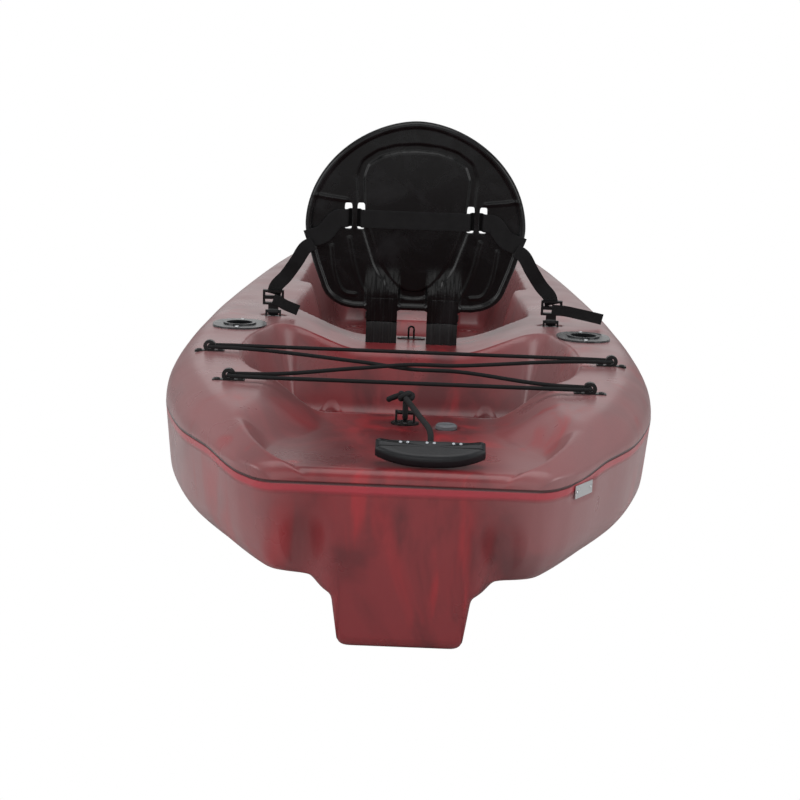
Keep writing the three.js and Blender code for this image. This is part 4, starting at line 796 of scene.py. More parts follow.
def weave_group():
    """Woven or braided yarn, from a UV along and across in metres: two families of slanting
    yarns, each a rounded wave, the higher of the two showing, with its crowns painted paler as an
    uneven painted highlight."""
    tree, enter, leave = effect(
        "weave", ("Colour",), {"Along": 600.0, "Across": 600.0, "Roughness": 0.8}, vectors=("UV",),
    )
    split = put(tree, "ShaderNodeSeparateXYZ", {"Vector": enter["UV"]})
    u = maths(tree, "MULTIPLY", split.outputs["X"], enter["Along"])
    v = maths(tree, "MULTIPLY", split.outputs["Y"], enter["Across"])
    families = []
    for sloping in ("ADD", "SUBTRACT"):
        turn = maths(tree, "MULTIPLY", maths(tree, sloping, u, v), math.pi)
        families.append(maths(tree, "ABSOLUTE", maths(tree, "SINE", turn)))
    yarn = maths(tree, "MAXIMUM", families[0], maths(tree, "MULTIPLY", families[1], YARN_UNDER))
    place = put(tree, "ShaderNodeTexCoord").outputs["Object"]
    # The raised yarns are painted paler towards their crowns: a painted highlight, made uneven by a noise
    yarn_sheen = maths(tree, "MULTIPLY_ADD", noise(tree, place, *YARN_SHEEN_NOISE), YARN_SHEEN_SPREAD, YARN_SHEEN_LEAST)
    lift = maths(tree, "MULTIPLY", maths(tree, "POWER", yarn, YARN_POWER), yarn_sheen)
    pale = blend_colour(tree, PALE_SHARE, enter["Colour"], YARN_SHEEN_COLOUR)
    colour = blend_colour(tree, lift, enter["Colour"], pale)
    feed(tree, leave, {"Color": colour, "Roughness": enter["Roughness"], "Height": yarn})
    return tree


MARBLING, GRAIN, WEAVE = marbling_group(), grain_group(), weave_group()


def new_material(name):
    made = bpy.data.materials.new(name)
    made.use_nodes = True
    return made, made.node_tree, made.node_tree.nodes["Principled BSDF"]


def bumps(tree, height, strength, depth, **under):
    """A shader normal from a height in shares of a depth in metres."""
    settings = {"Height": height, "Strength": strength, "Distance": depth, **under}
    return put(tree, "ShaderNodeBump", settings).outputs[0]


def finish_material(tree, shader, group, strength, depth):
    """Joins an effect's colour, roughness and height to a shader."""
    result = group.outputs
    feed(tree, shader, {
        "Base Color": result["Color"], "Roughness": result["Roughness"],
        "Normal": bumps(tree, result["Height"], strength, depth),
    })


# The hull's colours, and its parting line in metres from the seam, with a painted highlight on the band
# under it
# The pale colour here is a painted sheen for the hull's sides, not a colour of the plastic itself
HULL_MARBLE = {
    "Dark": (0.1, 0.014, 0.017, 1), "Middle": (0.19, 0.022, 0.026, 1), "Bright": (0.42, 0.018, 0.025, 1),
    "Pale": (0.25, 0.135, 0.138, 1), "Streaks": 0.5, "Roughness": 0.3,
}
HULL_GLOSS = 0.38
# The band under the seam is a painted highlight: brighter red where its rolled edge catches the light
HIGHLIGHT_BAND_LOW, HIGHLIGHT_BAND_TOP, SLIT_SIDE = (-0.016, -0.009), (-0.0005, -0.0025), (0.0006, 0.0024)
HIGHLIGHT_BAND_COLOUR, HIGHLIGHT_BAND_SHARE = (0.36, 0.03, 0.045, 1), 0.75
SLIT_COLOUR, SLIT_SHARE = (0.02, 0.005, 0.006, 1), 0.85
PEEL_BUMP, SEAM_BUMP = (0.25, 0.0012), (0.8, 0.003)


def hull_look():
    """Wine-red marbled plastic with a parting line: a dark slit, and under it a rolled band
    painted brighter red as a painted highlight, both from the seam attribute."""
    made, tree, shader = new_material("hull_plastic")
    marble = put(tree, "ShaderNodeGroup", HULL_MARBLE, node_tree=MARBLING).outputs
    seam = put(tree, "ShaderNodeAttribute", attribute_name="seam").outputs["Fac"]
    under = maths(tree, "MULTIPLY", ramp(tree, seam, *HIGHLIGHT_BAND_LOW), ramp(tree, seam, *HIGHLIGHT_BAND_TOP))
    slit = maths(tree, "SUBTRACT", 1.0, ramp(tree, maths(tree, "ABSOLUTE", seam), *SLIT_SIDE))
    # Painted highlight: the band under the seam is painted brighter red
    colour = blend_colour(tree, maths(tree, "MULTIPLY", under, HIGHLIGHT_BAND_SHARE), marble["Color"], HIGHLIGHT_BAND_COLOUR)
    colour = blend_colour(tree, maths(tree, "MULTIPLY", slit, SLIT_SHARE), colour, SLIT_COLOUR)
    fine = bumps(tree, marble["Height"], *PEEL_BUMP)
    normal = bumps(tree, maths(tree, "SUBTRACT", under, slit), *SEAM_BUMP, Normal=fine)
    feed(tree, shader, {
        "Base Color": colour, "Roughness": marble["Roughness"], "Normal": normal,
        "Specular IOR Level": HULL_GLOSS,
    })
    return made


FINE_DEPTH, WEAVE_STRENGTH, WEAVE_SHEEN, WEAVE_GLOSS = 0.0006, 0.6, 0.01, 0.14


def moulded_look(name, colour, roughness, grain=700.0, bloom=0.3, strength=0.15, metallic=0.0, gloss=0.3):
    made, tree, shader = new_material(name)
    settings = {"Colour": (*colour, 1), "Grain": grain, "Bloom": bloom, "Roughness": roughness}
    group = put(tree, "ShaderNodeGroup", settings, node_tree=GRAIN)
    finish_material(tree, shader, group, strength, FINE_DEPTH)
    feed(tree, shader, {"Metallic": metallic, "Specular IOR Level": gloss})
    return made


def woven_look(name, colour, along, across, roughness=0.8, depth=FINE_DEPTH):
    made, tree, shader = new_material(name)
    uv = put(tree, "ShaderNodeUVMap", uv_map="uv").outputs[0]
    settings = {"UV": uv, "Colour": (*colour, 1), "Along": along, "Across": across, "Roughness": roughness}
    group = put(tree, "ShaderNodeGroup", settings, node_tree=WEAVE)
    finish_material(tree, shader, group, WEAVE_STRENGTH, depth)
    feed(tree, shader, {"Sheen Weight": WEAVE_SHEEN, "Specular IOR Level": WEAVE_GLOSS})
    return made


# The finishes: colour, roughness, and what departs from the usual
MOULDED = {
    "black_plastic": ((0.006, 0.006, 0.0064), 0.34, dict(gloss=0.25)),
    "seat_plastic": ((0.004, 0.004, 0.0042), 0.27, dict(grain=900.0, bloom=0.4, strength=0.08, gloss=0.22)),
    "grip_plastic": ((0.0085, 0.009, 0.0105), 0.38, dict(grain=800.0, bloom=0.35, gloss=0.25)),
    "grey_plastic": ((0.12, 0.125, 0.135), 0.45, dict(bloom=0.2)),
    "holder_plastic": ((0.02, 0.021, 0.023), 0.27, dict(bloom=0.2, strength=0.02, gloss=0.6)),
    "rubber": ((0.008, 0.008, 0.0085), 0.6, dict(grain=1200.0, bloom=0.25)),
    "black_metal": ((0.02, 0.02, 0.021), 0.35, dict(grain=1500.0, bloom=0.15, metallic=0.4)),
    "steel": ((0.55, 0.56, 0.57), 0.3, dict(grain=1800.0, strength=0.08, metallic=1.0)),
    "pale_plastic": ((0.35, 0.37, 0.4), 0.5, {}),
}
# The cloths: colour, yarns along and across in a metre or a turn, and what departs from the usual
WOVEN = {
    "webbing": ((0.003, 0.003, 0.0034), 420.0, 620.0, {}),
    "bungee": ((0.005, 0.005, 0.0055), 330.0, 9.0, dict(depth=0.0008)),
    "rope": ((0.007, 0.007, 0.0075), 260.0, 8.0, dict(depth=0.001)),
    "pad_cover": ((0.009, 0.009, 0.0095), 480.0, 480.0, dict(roughness=0.85)),
}
LOOKS = {"hull_plastic": hull_look()}
for make_look, looks in ((moulded_look, MOULDED), (woven_look, WOVEN)):
    for name, (*values, others) in looks.items():
        LOOKS[name] = make_look(name, *values, **others)

# Hull
hull_deck, hull_low = build_hull()
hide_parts("hull")
for thing in (hull_deck, hull_low):
    thing.data.materials.append(LOOKS["hull_plastic"])

# Scupper tubes as (radius, height over the deck), then (radius, height over the underside); the
# lip follows the deck
TUBE_TOP = [(27, -1.5), (21, 2.0), (16, 2.4), (13, -3), (13, -12)]
TUBE_FOOT = [(13, 8), (14, -0.6), (22, 0.6)]
TUBE_FILLET, TUBE_SIDES, LIP_LOW, LIP_HIGH = 4, 48, -20, -8
tubes = []
for x, from_stern, _ in SCUPPERS:
    y = from_stern + STERN
    floor_z = float(deck_surface(np.array([x]), np.array([y]))[0])
    profile = [(radius, floor_z + rise) for radius, rise in TUBE_TOP]
    profile += [(radius, bottom_height(x, from_stern) + rise) for radius, rise in TUBE_FOOT]
    verts, faces, uv = lathe_parts(filleted(profile, TUBE_FILLET)[::-1], TUBE_SIDES)
    verts = verts + [x, y, 0]
    lip = smooth(floor_z + LIP_LOW, floor_z + LIP_HIGH, verts[:, 2])
    verts[:, 2] += lip * (deck_surface(verts[:, 0], verts[:, 1]) - floor_z)
    tubes.append((verts, faces, uv))
tubes = joined_parts(tubes)
add_piece("scupper_tubes", tubes, "hull_body", "hull_plastic",
          attributes={"seam": np.full(len(tubes[0]), 1.0)})

# Bungee: one elastic loop through its four eyes
EYE_CENTRE, EYE_SUNK = 9.4, 2
BUNGEE_RADIUS, BUNGEE_RUN, BUNGEE_CROSS = 3.0, 40.0, 3.3
CORD_SIDES, CORD_STEP = 16, 3
eye_holes = {}
for end, x, from_stern in (("front", 0.798 * HALF_BEAM, 555), ("rear", 0.6556 * HALF_BEAM, 322)):
    for side, sign in (("left", -1), ("right", 1)):
        place = deck_frame(sign * x, from_stern, EYE_SUNK)
        eye_holes[end + "_" + side] = in_frame([0, 0, EYE_CENTRE], place)

# The bight through an eye, as (distance inwards, distance along)
BIGHT = [
    (BUNGEE_RUN, 14.4), (13, 12), (4.55, 9.84), (0, 5.4), (0, 0), (0, -5.4), (4.55, -9.84), (13, -12),
    (BUNGEE_RUN, -14.4),
]


def turn_round(name, sign, from_front):
    """The bungee's bight through one eye: in from one side, out at the other."""
    way = 1 if from_front else -1
    return [eye_holes[name] + [-sign * inward, way * along, 0] for inward, along in BIGHT]


def crossing(start, end, lift):
    """Three points near the middle of the well, the middle one raised or lowered."""
    middle = sum(eye_holes.values()) / 4
    way = unit((eye_holes[end] - eye_holes[start]) * [1, 1, 0])
    return [middle + way * step * BUNGEE_RUN * 2 + [0, 0, 0 if step else lift] for step in (-1, 0, 1)]


bungee_route = np.array(
    turn_round("front_left", -1, False) + turn_round("front_right", 1, True)
    + crossing("front_right", "rear_left", BUNGEE_CROSS) + turn_round("rear_left", -1, True)
    + turn_round("rear_right", 1, False) + crossing("rear_right", "front_left", -BUNGEE_CROSS)
)
bungee_route = along_curve(bungee_route, CORD_STEP, closed=True)
bungee = tube_parts(bungee_route, BUNGEE_RADIUS, CORD_SIDES, (0, 0, 1), closed=True)
add_piece("bungee_loop", bungee, "hull_body", "bungee", "bungee")

# Carrying handle: the rope's route is the CAD part's, from the centre of the stern eye's bar
ROPE_RADIUS, ROPE_LOOP, ROPE_SIDES, KNOT_STEP, KNOT_POINTS = 4.0, 7.4, 20, 2, 160
HANDLE_EYE, BAR_HEIGHT, EYE_SEAT = (-4, 278), 19, 2.5
ROPE_TO_GRIP, ROPE_IN_GRIP, PATH_STEP = 17, 8, 6
GRIP_TILT = math.radians(28)
GRIP_PLACE = np.array([34, -226, 0.5])
bar_centre = in_frame([0, 0, BAR_HEIGHT], deck_frame(*HANDLE_EYE, EYE_SEAT))
into_grip = np.array([0, -math.cos(GRIP_TILT), -math.sin(GRIP_TILT)])
rope_run = np.array([
    (0, -7, 21), (3, -22, 20), (8, -44, 18), (14, -72, 15.5), (20, -104, 13.5), (26, -140, 13),
    (31, -178, 13.5), GRIP_PLACE - ROPE_TO_GRIP * into_grip, GRIP_PLACE + ROPE_IN_GRIP * into_grip,
], float)
loop_turn = np.linspace(0, np.pi, 9)
rope_loop = np.stack([0 * loop_turn, ROPE_LOOP * np.cos(loop_turn), -ROPE_LOOP * np.sin(loop_turn)], -1)
rope_loop = np.concatenate([[(0, 4, 21)], rope_loop, [(0, -4, 21)]])
rope_tail = np.array([(0, 4, 21), (-9, 7, 22), (-20, 10, 18), (-27, 12, 14)], float)
rope_route = along_curve(rope_run, CORD_STEP) + bar_centre
rope_parts = tube_parts(rope_route, ROPE_RADIUS, ROPE_SIDES, (1, 0, 0))
rope = add_piece("stern_handle_rope", rope_parts, "stern_handle", "rope", "stern_rope")

# The knot is a trefoil: a line that runs twice round while it swings in and out three times
KNOT_RADIUS, KNOT_SWING, KNOT_HEIGHT, KNOT_WIDE, KNOT_DEEP, KNOT_RISE = 5.6, 2.6, 3.6, 1.1, 0.72, 23
turn = np.linspace(0, 2 * np.pi, KNOT_POINTS, endpoint=False)
knot_reach = KNOT_RADIUS + KNOT_SWING * np.cos(3 * turn)
knot_line = np.stack([
    knot_reach * np.cos(2 * turn) * KNOT_WIDE, knot_reach * np.sin(2 * turn) * KNOT_DEEP,
    KNOT_HEIGHT * np.sin(3 * turn) + KNOT_RISE,
], -1)
knot_parts = [
    tube_parts(route + bar_centre, ROPE_RADIUS, CORD_SIDES, guide, closed)
    for route, guide, closed in (
        (knot_line, (0.2, 0.3, 1), True), (along_curve(rope_loop, KNOT_STEP), (1, 0, 0), False),
        (along_curve(rope_tail, KNOT_STEP), (0, 0, 1), False),
    )
]
knot = add_piece("stern_handle_knot", joined_parts(knot_parts), "stern_handle", "rope")

# The grip: straight in front, curved behind by a power of the share of its half width
GRIP_HALF, GRIP_DEEP, GRIP_THICK, GRIP_FILLET = 70.0, 38.0, 19.0, 6.5
GRIP_POWER, GRIP_BOW, GRIP_COLUMNS, GRIP_ROWS = 2.6, 0.52, 61, 12
across = np.linspace(1, -1, GRIP_COLUMNS)
front = np.stack([across[::-1] * GRIP_HALF, 0 * across], -1)
rear = np.stack([across * GRIP_HALF, -GRIP_DEEP * (1 - np.abs(across) ** GRIP_POWER * GRIP_BOW)], -1)
side_run = np.linspace(0, 1, GRIP_ROWS)[1:-1, None]
grip_outline = np.concatenate([
    front[::-1], front[0] + (rear[-1] - front[0]) * side_run,
    rear[::-1], rear[0] + (front[-1] - rear[0]) * side_run,
])


def at_grip(points):
    """Points of the grip's own frame, which leans on its curved edge, in the row's frame."""
    return turned_about_x(points, GRIP_TILT) + GRIP_PLACE + bar_centre


grip_parts = changed(slab_parts(grip_outline, -GRIP_THICK / 2, GRIP_THICK / 2, GRIP_FILLET), at_grip)
grip = add_piece("stern_handle_grip", grip_parts, "stern_handle", "grip_plastic", "stern_grip")
DOT_PROFILE, DOT_FILLET, DOT_BEHIND = [(2.1, -1), (2.0, 0.5), (0, 0.9)], 0.5, -7.5
DOT_PAIRS, DOT_APART = (-33.6, 0, 33.6), 4.6
dot = lathe_parts(filleted(DOT_PROFILE, DOT_FILLET), CORD_SIDES)
dots = [
    changed(dot, lambda verts: at_grip(verts + [pair + side * DOT_APART, DOT_BEHIND, GRIP_THICK / 2]))
    for pair in DOT_PAIRS for side in (-1, 1)
]
grip_dots = add_piece("grip_pins", joined_parts(dots), "stern_handle", "pale_plastic")

# Seat back panel
PANEL_TOP, PANEL_WIDE_AT, PANEL_HALF, PANEL_BOTTOM = 354.0, 163.0, 196.5, 12.0
PANEL_THICK, RIM_THICK, RIM_WIDE = 8.0, 18.0, 13.0
SLOT_INNER, SLOT_OUTER, SLOT_WIDE, SLOT_HIGH, SLOT_MIDDLE = 97.5, 120.0, 13.6, 48.0, 182.0
PANEL_MIDDLE, PANEL_ROUND, PANEL_POINTS, PANEL_RINGS, RING_CLOSER = 185.0, 1.1, 520, 96, 1.35
TOP_POINTS, GROOVE_POINTS, RIB_STEP = 60, 300, 4
WEB_EASE, BEAD_EASE = 4, 2.0
GROOVE_IN, GROOVE_DEEP, GROOVE_FLOOR, GROOVE_EDGE = 7.5, 4.0, 4.6, 8.6
RIB_HIGH, RIB_TOP, RIB_EDGE = 1.9, 1.0, 5.0
CROWN_HIGH, CROWN_AT, CROWN_FLAT, CROWN_EDGE = 1.6, 200, 20, 150
LOBE_EDGE, LOBE_END, LOBE_LOW, LOBE_HIGH = 0.95, 1.2, 38, 96

# Right halves in shares of the panel's sizes, and the raised ribs on its left half
CORNERS = [
    (0.41, 0), (0.55, 0), (0.66, 0.03), (0.74, 0.085), (0.8, 0.155), (0.835, 0.235), (0.92, 0.54),
    (0.955, 0.7), (0.99, 0.88),
]
GROOVE = [
    (0, 0.094), (0.1, 0.1), (0.21, 0.144), (0.3, 0.2), (0.37, 0.26), (0.475, 0.435), (0.53, 0.56),
    (0.55, 0.72), (0.5, 0.8), (0.36, 0.855), (0.19, 0.882), (0, 0.89),
]
RIBS = [
    [(-148, 126), (-143, 85), (-130, 48), (-118, 40), (-104, 39)],
    [(-117, 142), (-106, 90), (-92, 52), (-72, 27)],
    [(-183, 219), (-150, 214), (-124, 211)],
]
LEG_INNER, LEG_OUTER, CHEEK, LEG_DEPTH = 27.0, 82.5, 8.0, 28.0
LEG_MIDDLE, LEG_HALF = (LEG_INNER + LEG_OUTER) / 2, (LEG_OUTER - LEG_INNER) / 2
FLUTE, FLUTE_TURNS, TONGUE_REAR, LOBE_SUNK = 2.4, 3.5, -14.5, 0.4


def flutes(across):
    """Depth of the legs' rounded flutes at places across a leg, in shares of its half width."""
    return FLUTE * np.sqrt(np.clip(np.cos(across * np.pi * FLUTE_TURNS), 0, 1))


RING_SOFTENINGS = 6


def evenly(points, count):
    """A closed outline's points, spread evenly along it and softened a little at its corners."""
    ring = np.concatenate([points, points[:1]])
    run = length_run(ring)
    at = np.linspace(0, run[-1], count, endpoint=False)
    even = np.stack([np.interp(at, run, column) for column in ring.T], 1)
    for _ in range(RING_SOFTENINGS):
        even = (np.roll(even, 1, 0) + 2 * even + np.roll(even, -1, 0)) / 4
    return even


def mirror_ring(right):
    """A right half outline, from bottom to top, closed with its mirror image."""
    right = np.asarray(right, float)
    left = right[::-1] * [-1, 1]
    return np.concatenate([right, left[left[:, 0] < 0]])


CHUNK = 4000


def distance_to(points, line, closed=False):
    """Distance from each point to a polyline: the least over its segments, each clamped to its
    ends."""
    start = line if closed else line[:-1]
    end = np.roll(line, -1, 0) if closed else line[1:]
    span = end - start
    best = np.zeros(len(points))
    for chunk in np.array_split(np.arange(len(points)), max(len(points) // CHUNK, 1)):
        off = points[chunk, None] - start[None]
        t = np.clip((off * span).sum(-1) / np.maximum((span * span).sum(-1), TINY), 0, 1)
        best[chunk] = np.linalg.norm(off - span * t[..., None], axis=-1).min(1)
    return best


def panel_outline():
    """The outline: straight between the corners, then nearly a quarter ellipse over the top."""
    low = np.array(CORNERS) * [PANEL_HALF, PANEL_WIDE_AT - PANEL_BOTTOM] + [0, PANEL_BOTTOM]
    turn = np.linspace(0, np.pi / 2, TOP_POINTS)
    rise = PANEL_WIDE_AT + (PANEL_TOP - PANEL_WIDE_AT) * np.sin(turn)
    return mirror_ring(np.concatenate([low, np.stack([PANEL_HALF * np.cos(turn) ** PANEL_ROUND, rise], -1)]))


def build_panel():
    """The panel as two faces of rings that shrink from the outline to its middle. Half its
    thickness is a rolled bead near the edge and a thin web inside, less a shield-shaped groove on
    the rear, plus raised ribs and a ledge there; over each leg the rear swells to the leg's flutes."""
    outline = evenly(panel_outline(), PANEL_POINTS)
    middle = np.array([0, PANEL_MIDDLE])
    share = 1 - np.linspace(0, 1, PANEL_RINGS) ** RING_CLOSER
    flat = middle + share[:, None, None] * (outline - middle)[None]
    points = flat.reshape(-1, 2)
    edge = distance_to(points, outline, closed=True)
    bead = RIM_THICK / 2 * np.sqrt(np.clip(1 - (1 - edge / (RIM_WIDE / 2)) ** 2, 0, None))
    web = PANEL_THICK / 2 * np.sqrt(np.clip(1 - (1 - np.minimum(edge, WEB_EASE) / WEB_EASE) ** 2, 0, None))
    half = -soft_min(-bead, -web, BEAD_EASE)
    groove_line = evenly(mirror_ring(np.array(GROOVE) * [PANEL_HALF, PANEL_TOP]), GROOVE_POINTS)
    d = unit(np.roll(groove_line, -1, 0) - np.roll(groove_line, 1, 0))
    groove_line = groove_line + np.stack([-d[:, 1], d[:, 0]], -1) * GROOVE_IN
    off_groove = distance_to(points, groove_line, closed=True)
    groove = GROOVE_DEEP * (1 - smooth(GROOVE_FLOOR, GROOVE_EDGE, off_groove))
    relief = np.zeros(len(points))
    for rib in RIBS:
        for sign in (1, -1):
            line = along_curve(np.array(rib, float) * [sign, 1], RIB_STEP)
            height = RIB_HIGH * (1 - smooth(RIB_TOP, RIB_EDGE, distance_to(points, line)))
            relief = np.maximum(relief, height)
    off_crown = np.hypot(points[:, 0], points[:, 1] - CROWN_AT)
    crown = CROWN_HIGH * (1 - smooth(CROWN_FLAT, CROWN_EDGE, off_crown))
    across = (np.abs(points[:, 0]) - LEG_MIDDLE) / LEG_HALF
    lobe = 1 - smooth(LOBE_EDGE, LOBE_END, np.abs(across))
    lobe = lobe * (1 - smooth(LOBE_LOW, LOBE_HIGH, points[:, 1]))
    swelling = TONGUE_REAR + LOBE_SUNK + FLUTE - flutes(across)
    rear = -(half - groove + relief + crown) * (1 - lobe) + swelling * lobe
    sides = []
    for y, flip in ((rear, False), (half, True)):
        faces = grid_faces(len(share), len(outline), flip=flip, closed=True)
        sides.append((np.stack([points[:, 0], y, points[:, 1]], -1), faces, points / PER_METRE))
    return changed(joined_parts(sides), in_seat)


panel = add_piece("seat_back_panel", build_panel(), "backrest", "seat_plastic", "seat_panel")


SLOT_POWER, SLOT_REACH, SLOT_FILLET, OVAL_POINTS = 6.0, 20, 0.5, 48


def cut_slots(thing):
    """Cuts the four webbing slots with rounded boxes, and keeps the result as the piece's mesh."""
    outline = oval(SLOT_WIDE / 2, SLOT_HIGH / 2, OVAL_POINTS, SLOT_POWER)
    box = slab_parts(outline, -SLOT_REACH, SLOT_REACH, SLOT_FILLET)
    boxes = [
        changed(box, lambda verts: in_seat(verts[:, [0, 2, 1]] * [1, -1, 1] + [x, 0, SLOT_MIDDLE]))
        for x in (-SLOT_OUTER, -SLOT_INNER, SLOT_INNER, SLOT_OUTER)
    ]
    verts, faces, uv = joined_parts(boxes)
    cutter = mesh_object("slot_cutter", verts, faces, "backrest", uv=uv)
    cutter.data.materials.append(LOOKS["seat_plastic"])
    cut = thing.modifiers.new("slots", "BOOLEAN")
    cut.operation = "DIFFERENCE"
    cut.solver = "EXACT"
    cut.object = cutter
    shown = thing.evaluated_get(bpy.context.evaluated_depsgraph_get())
    mesh = bpy.data.meshes.new_from_object(shown)
    thing.modifiers.clear()
    thing.data = mesh
    bpy.data.objects.remove(cutter)


cut_slots(panel)

# The panel's knuckles on the hinge pins: a barrel with a bore, and a tab up into the panel
KNUCKLE_BORE, KNUCKLE_ROUND, KNUCKLE_CLEAR, KNUCKLE_FILLET, KNUCKLE_SIDES = 4.4, 9, 0.4, 1.2, 40
TAB_HALF, TAB_POWER, TAB_LOW, TAB_HIGH, TAB_FILLET = 5.4, 8.0, 4, 24, 1.5
knuckle_half = LEG_HALF - CHEEK - KNUCKLE_CLEAR
barrel = np.array([
    (KNUCKLE_BORE, -1), (KNUCKLE_ROUND, -1), (KNUCKLE_ROUND, 1), (KNUCKLE_BORE, 1), (KNUCKLE_BORE, -1),
]) * [1, knuckle_half]
barrel = lathe_parts(filleted(barrel, KNUCKLE_FILLET), KNUCKLE_SIDES)
barrel = changed(barrel, lambda verts: verts[:, [2, 1, 0]] * [1, 1, -1])
tab = slab_parts(oval(knuckle_half, TAB_HALF, OVAL_POINTS, TAB_POWER), TAB_LOW, TAB_HIGH, TAB_FILLET)
knuckles = [
    changed(parts, lambda verts: in_seat(verts + [sign * LEG_MIDDLE, 0, 0]))
    for sign in (-1, 1) for parts in (barrel, tab)
]
add_piece("panel_knuckles", joined_parts(knuckles), "backrest", "seat_plastic")


LEG_COLUMNS, LEG_ROWS = 97, 25


def fluted_outline(deep):
    """A leg's section: a rectangle whose rear face has rounded flutes and whose front is flat."""
    across = np.linspace(-LEG_HALF, LEG_HALF, LEG_COLUMNS)
    rear = np.stack([across, -deep / 2 + FLUTE - flutes(across / LEG_HALF)], -1)
    edge = np.linspace(-1, 1, LEG_ROWS)[1:-1, None]
    right = np.array([LEG_HALF, 0]) + edge * [0, deep / 2]
    front = np.stack([across[::-1], 0 * across + deep / 2], -1)
    return np.concatenate([rear, right, front, right[::-1] * [-1, 1]])


# Fluted tongues run down the panel over the hinges, so that the legs read as one with it
TONGUE_LOW, TONGUE_HIGH, TONGUE_DEEP, LEG_FILLET = -8.0, 36.0, 5.0, 1.2
tongue = slab_parts(fluted_outline(TONGUE_DEEP), TONGUE_LOW, TONGUE_HIGH, LEG_FILLET)
tongues = [
    changed(tongue, lambda verts: in_seat(verts + [sign * LEG_MIDDLE, TONGUE_REAR + TONGUE_DEEP / 2, 0]))
    for sign in (-1, 1)
]
add_piece("panel_tongues", joined_parts(tongues), "backrest", "seat_plastic")

# Hinge legs with upright grooves on their rear face, and a round cheek at each side
LEG_SUNK, LEG_TOP = 2.2, -9.8
CHEEK_ROUND, CHEEK_LOW, CHEEK_FILLET, ARCH_POINTS, CHEEK_POINTS = 9.0, -11.0, 1.0, 33, 96
leg_foot = float(min(deck_height(LEG_INNER, SEAT_Y), deck_height(LEG_OUTER, SEAT_Y))) - LEG_SUNK
block = slab_parts(fluted_outline(LEG_DEPTH), leg_foot - HINGE_HEIGHT, LEG_TOP, LEG_FILLET)
turn = np.linspace(0, np.pi, ARCH_POINTS)
arch = CHEEK_ROUND * np.stack([np.cos(turn), np.sin(turn)], -1)
cheek = evenly(np.concatenate([[(-CHEEK_ROUND, CHEEK_LOW), (CHEEK_ROUND, CHEEK_LOW)], arch]), CHEEK_POINTS)
cheek = slab_parts(cheek, -CHEEK / 2, CHEEK / 2, CHEEK_FILLET)
cheek = changed(cheek, lambda verts: verts[:, [2, 0, 1]])
cheek_out = LEG_HALF - CHEEK / 2
for name, sign in (("left", -1), ("right", 1)):
    leg = joined_parts([
        changed(parts, lambda verts: verts + [sign * LEG_MIDDLE + out, SEAT_Y, HINGE_HEIGHT])
        for parts, out in ((block, 0), (cheek, -cheek_out), (cheek, cheek_out))
    ])
    add_piece("leg_" + name, leg, "hull_body", "black_plastic", "hinge_leg_" + name)

# Seat pad: a crowned cushion with a piped edge and sewn channels across it
PAD_LOW, PAD_HIGH, PAD_HALF, PAD_THICK, PAD_EDGE = 34.0, 338.0, 86.0, 26.0, 9.0
PAD_REST, PAD_TUCK, PAD_NARROW, PAD_POWER, PIPING = PANEL_THICK / 2 + 3, 0.985, 0.1, 0.6, 2.2
CHANNELS, CHANNEL_BOW, CHANNEL_DEEP, CHANNEL_FLOOR, CHANNEL_EDGE = (90, 150, 210, 270), 10, 4.5, 0.5, 11.0
PUCKER, PUCKER_TURN, PUCKER_FADE = 0.25, 0.9, 6
PAD_SPOKES, PAD_RINGS, PAD_RIM_RINGS, PAD_BACK_RINGS, PIPING_SIDES = 241, 60, 14, 20, 10
PAD_RIM = (0.9, 0.91)


def build_pad():
    """The pad in rings from its middle out to its edge and back over its rear: a crown that falls
    off towards the edge, less narrow channels at four heights and a fine pucker along them."""
    angle = np.linspace(0, 2 * np.pi, PAD_SPOKES)
    shares = [np.linspace(0, PAD_RIM[0], PAD_RINGS), np.linspace(PAD_RIM[1], 1, PAD_RIM_RINGS)]
    shares = np.concatenate(shares)
    narrow = 1 - PAD_NARROW * np.clip(-np.sin(angle), 0, None) * np.abs(np.cos(angle))
    middle, half = (PAD_LOW + PAD_HIGH) / 2, (PAD_HIGH - PAD_LOW) / 2
    x = shares[:, None] * PAD_HALF * np.cos(angle) * narrow
    z = middle + shares[:, None] * half * np.sin(angle)
    crown = np.clip(1 - shares[:, None] ** 2, 0, None) ** PAD_POWER
    crown = PAD_EDGE + (PAD_THICK - PAD_EDGE) * crown + 0 * x
    pucker = (1 + PUCKER * np.sin(x * PUCKER_TURN)) * (1 - shares[:, None] ** PUCKER_FADE)
    for height in CHANNELS:
        line = np.abs(z - height - CHANNEL_BOW * (x / PAD_HALF) ** 2)
        crown -= CHANNEL_DEEP * (1 - smooth(CHANNEL_FLOOR, CHANNEL_EDGE, line)) * pucker
    front = np.stack([x, crown, z], -1)
    back_shares = np.linspace(1, 0, PAD_BACK_RINGS)[:, None] * PAD_TUCK
    back_x = back_shares * PAD_HALF * np.cos(angle) * narrow
    back = np.stack([back_x, 0 * back_x, middle + back_shares * half * np.sin(angle)], -1)
    verts = np.concatenate([front, back]) + [0, PAD_REST, 0]
    uv = verts[..., [0, 2]] / PER_METRE
    edge = verts[len(shares) - 1, :-1] * [PAD_TUCK, 1, 1]
    piping = tube_parts(edge, PIPING, PIPING_SIDES, (0, 1, 0), closed=True)
    body = (verts.reshape(-1, 3), grid_faces(len(verts), len(angle)), uv.reshape(-1, 2))
    return changed(joined_parts([body, piping]), in_seat)


pad = add_piece("back_pad", build_pad(), "backrest", "pad_cover", "seat_pad")

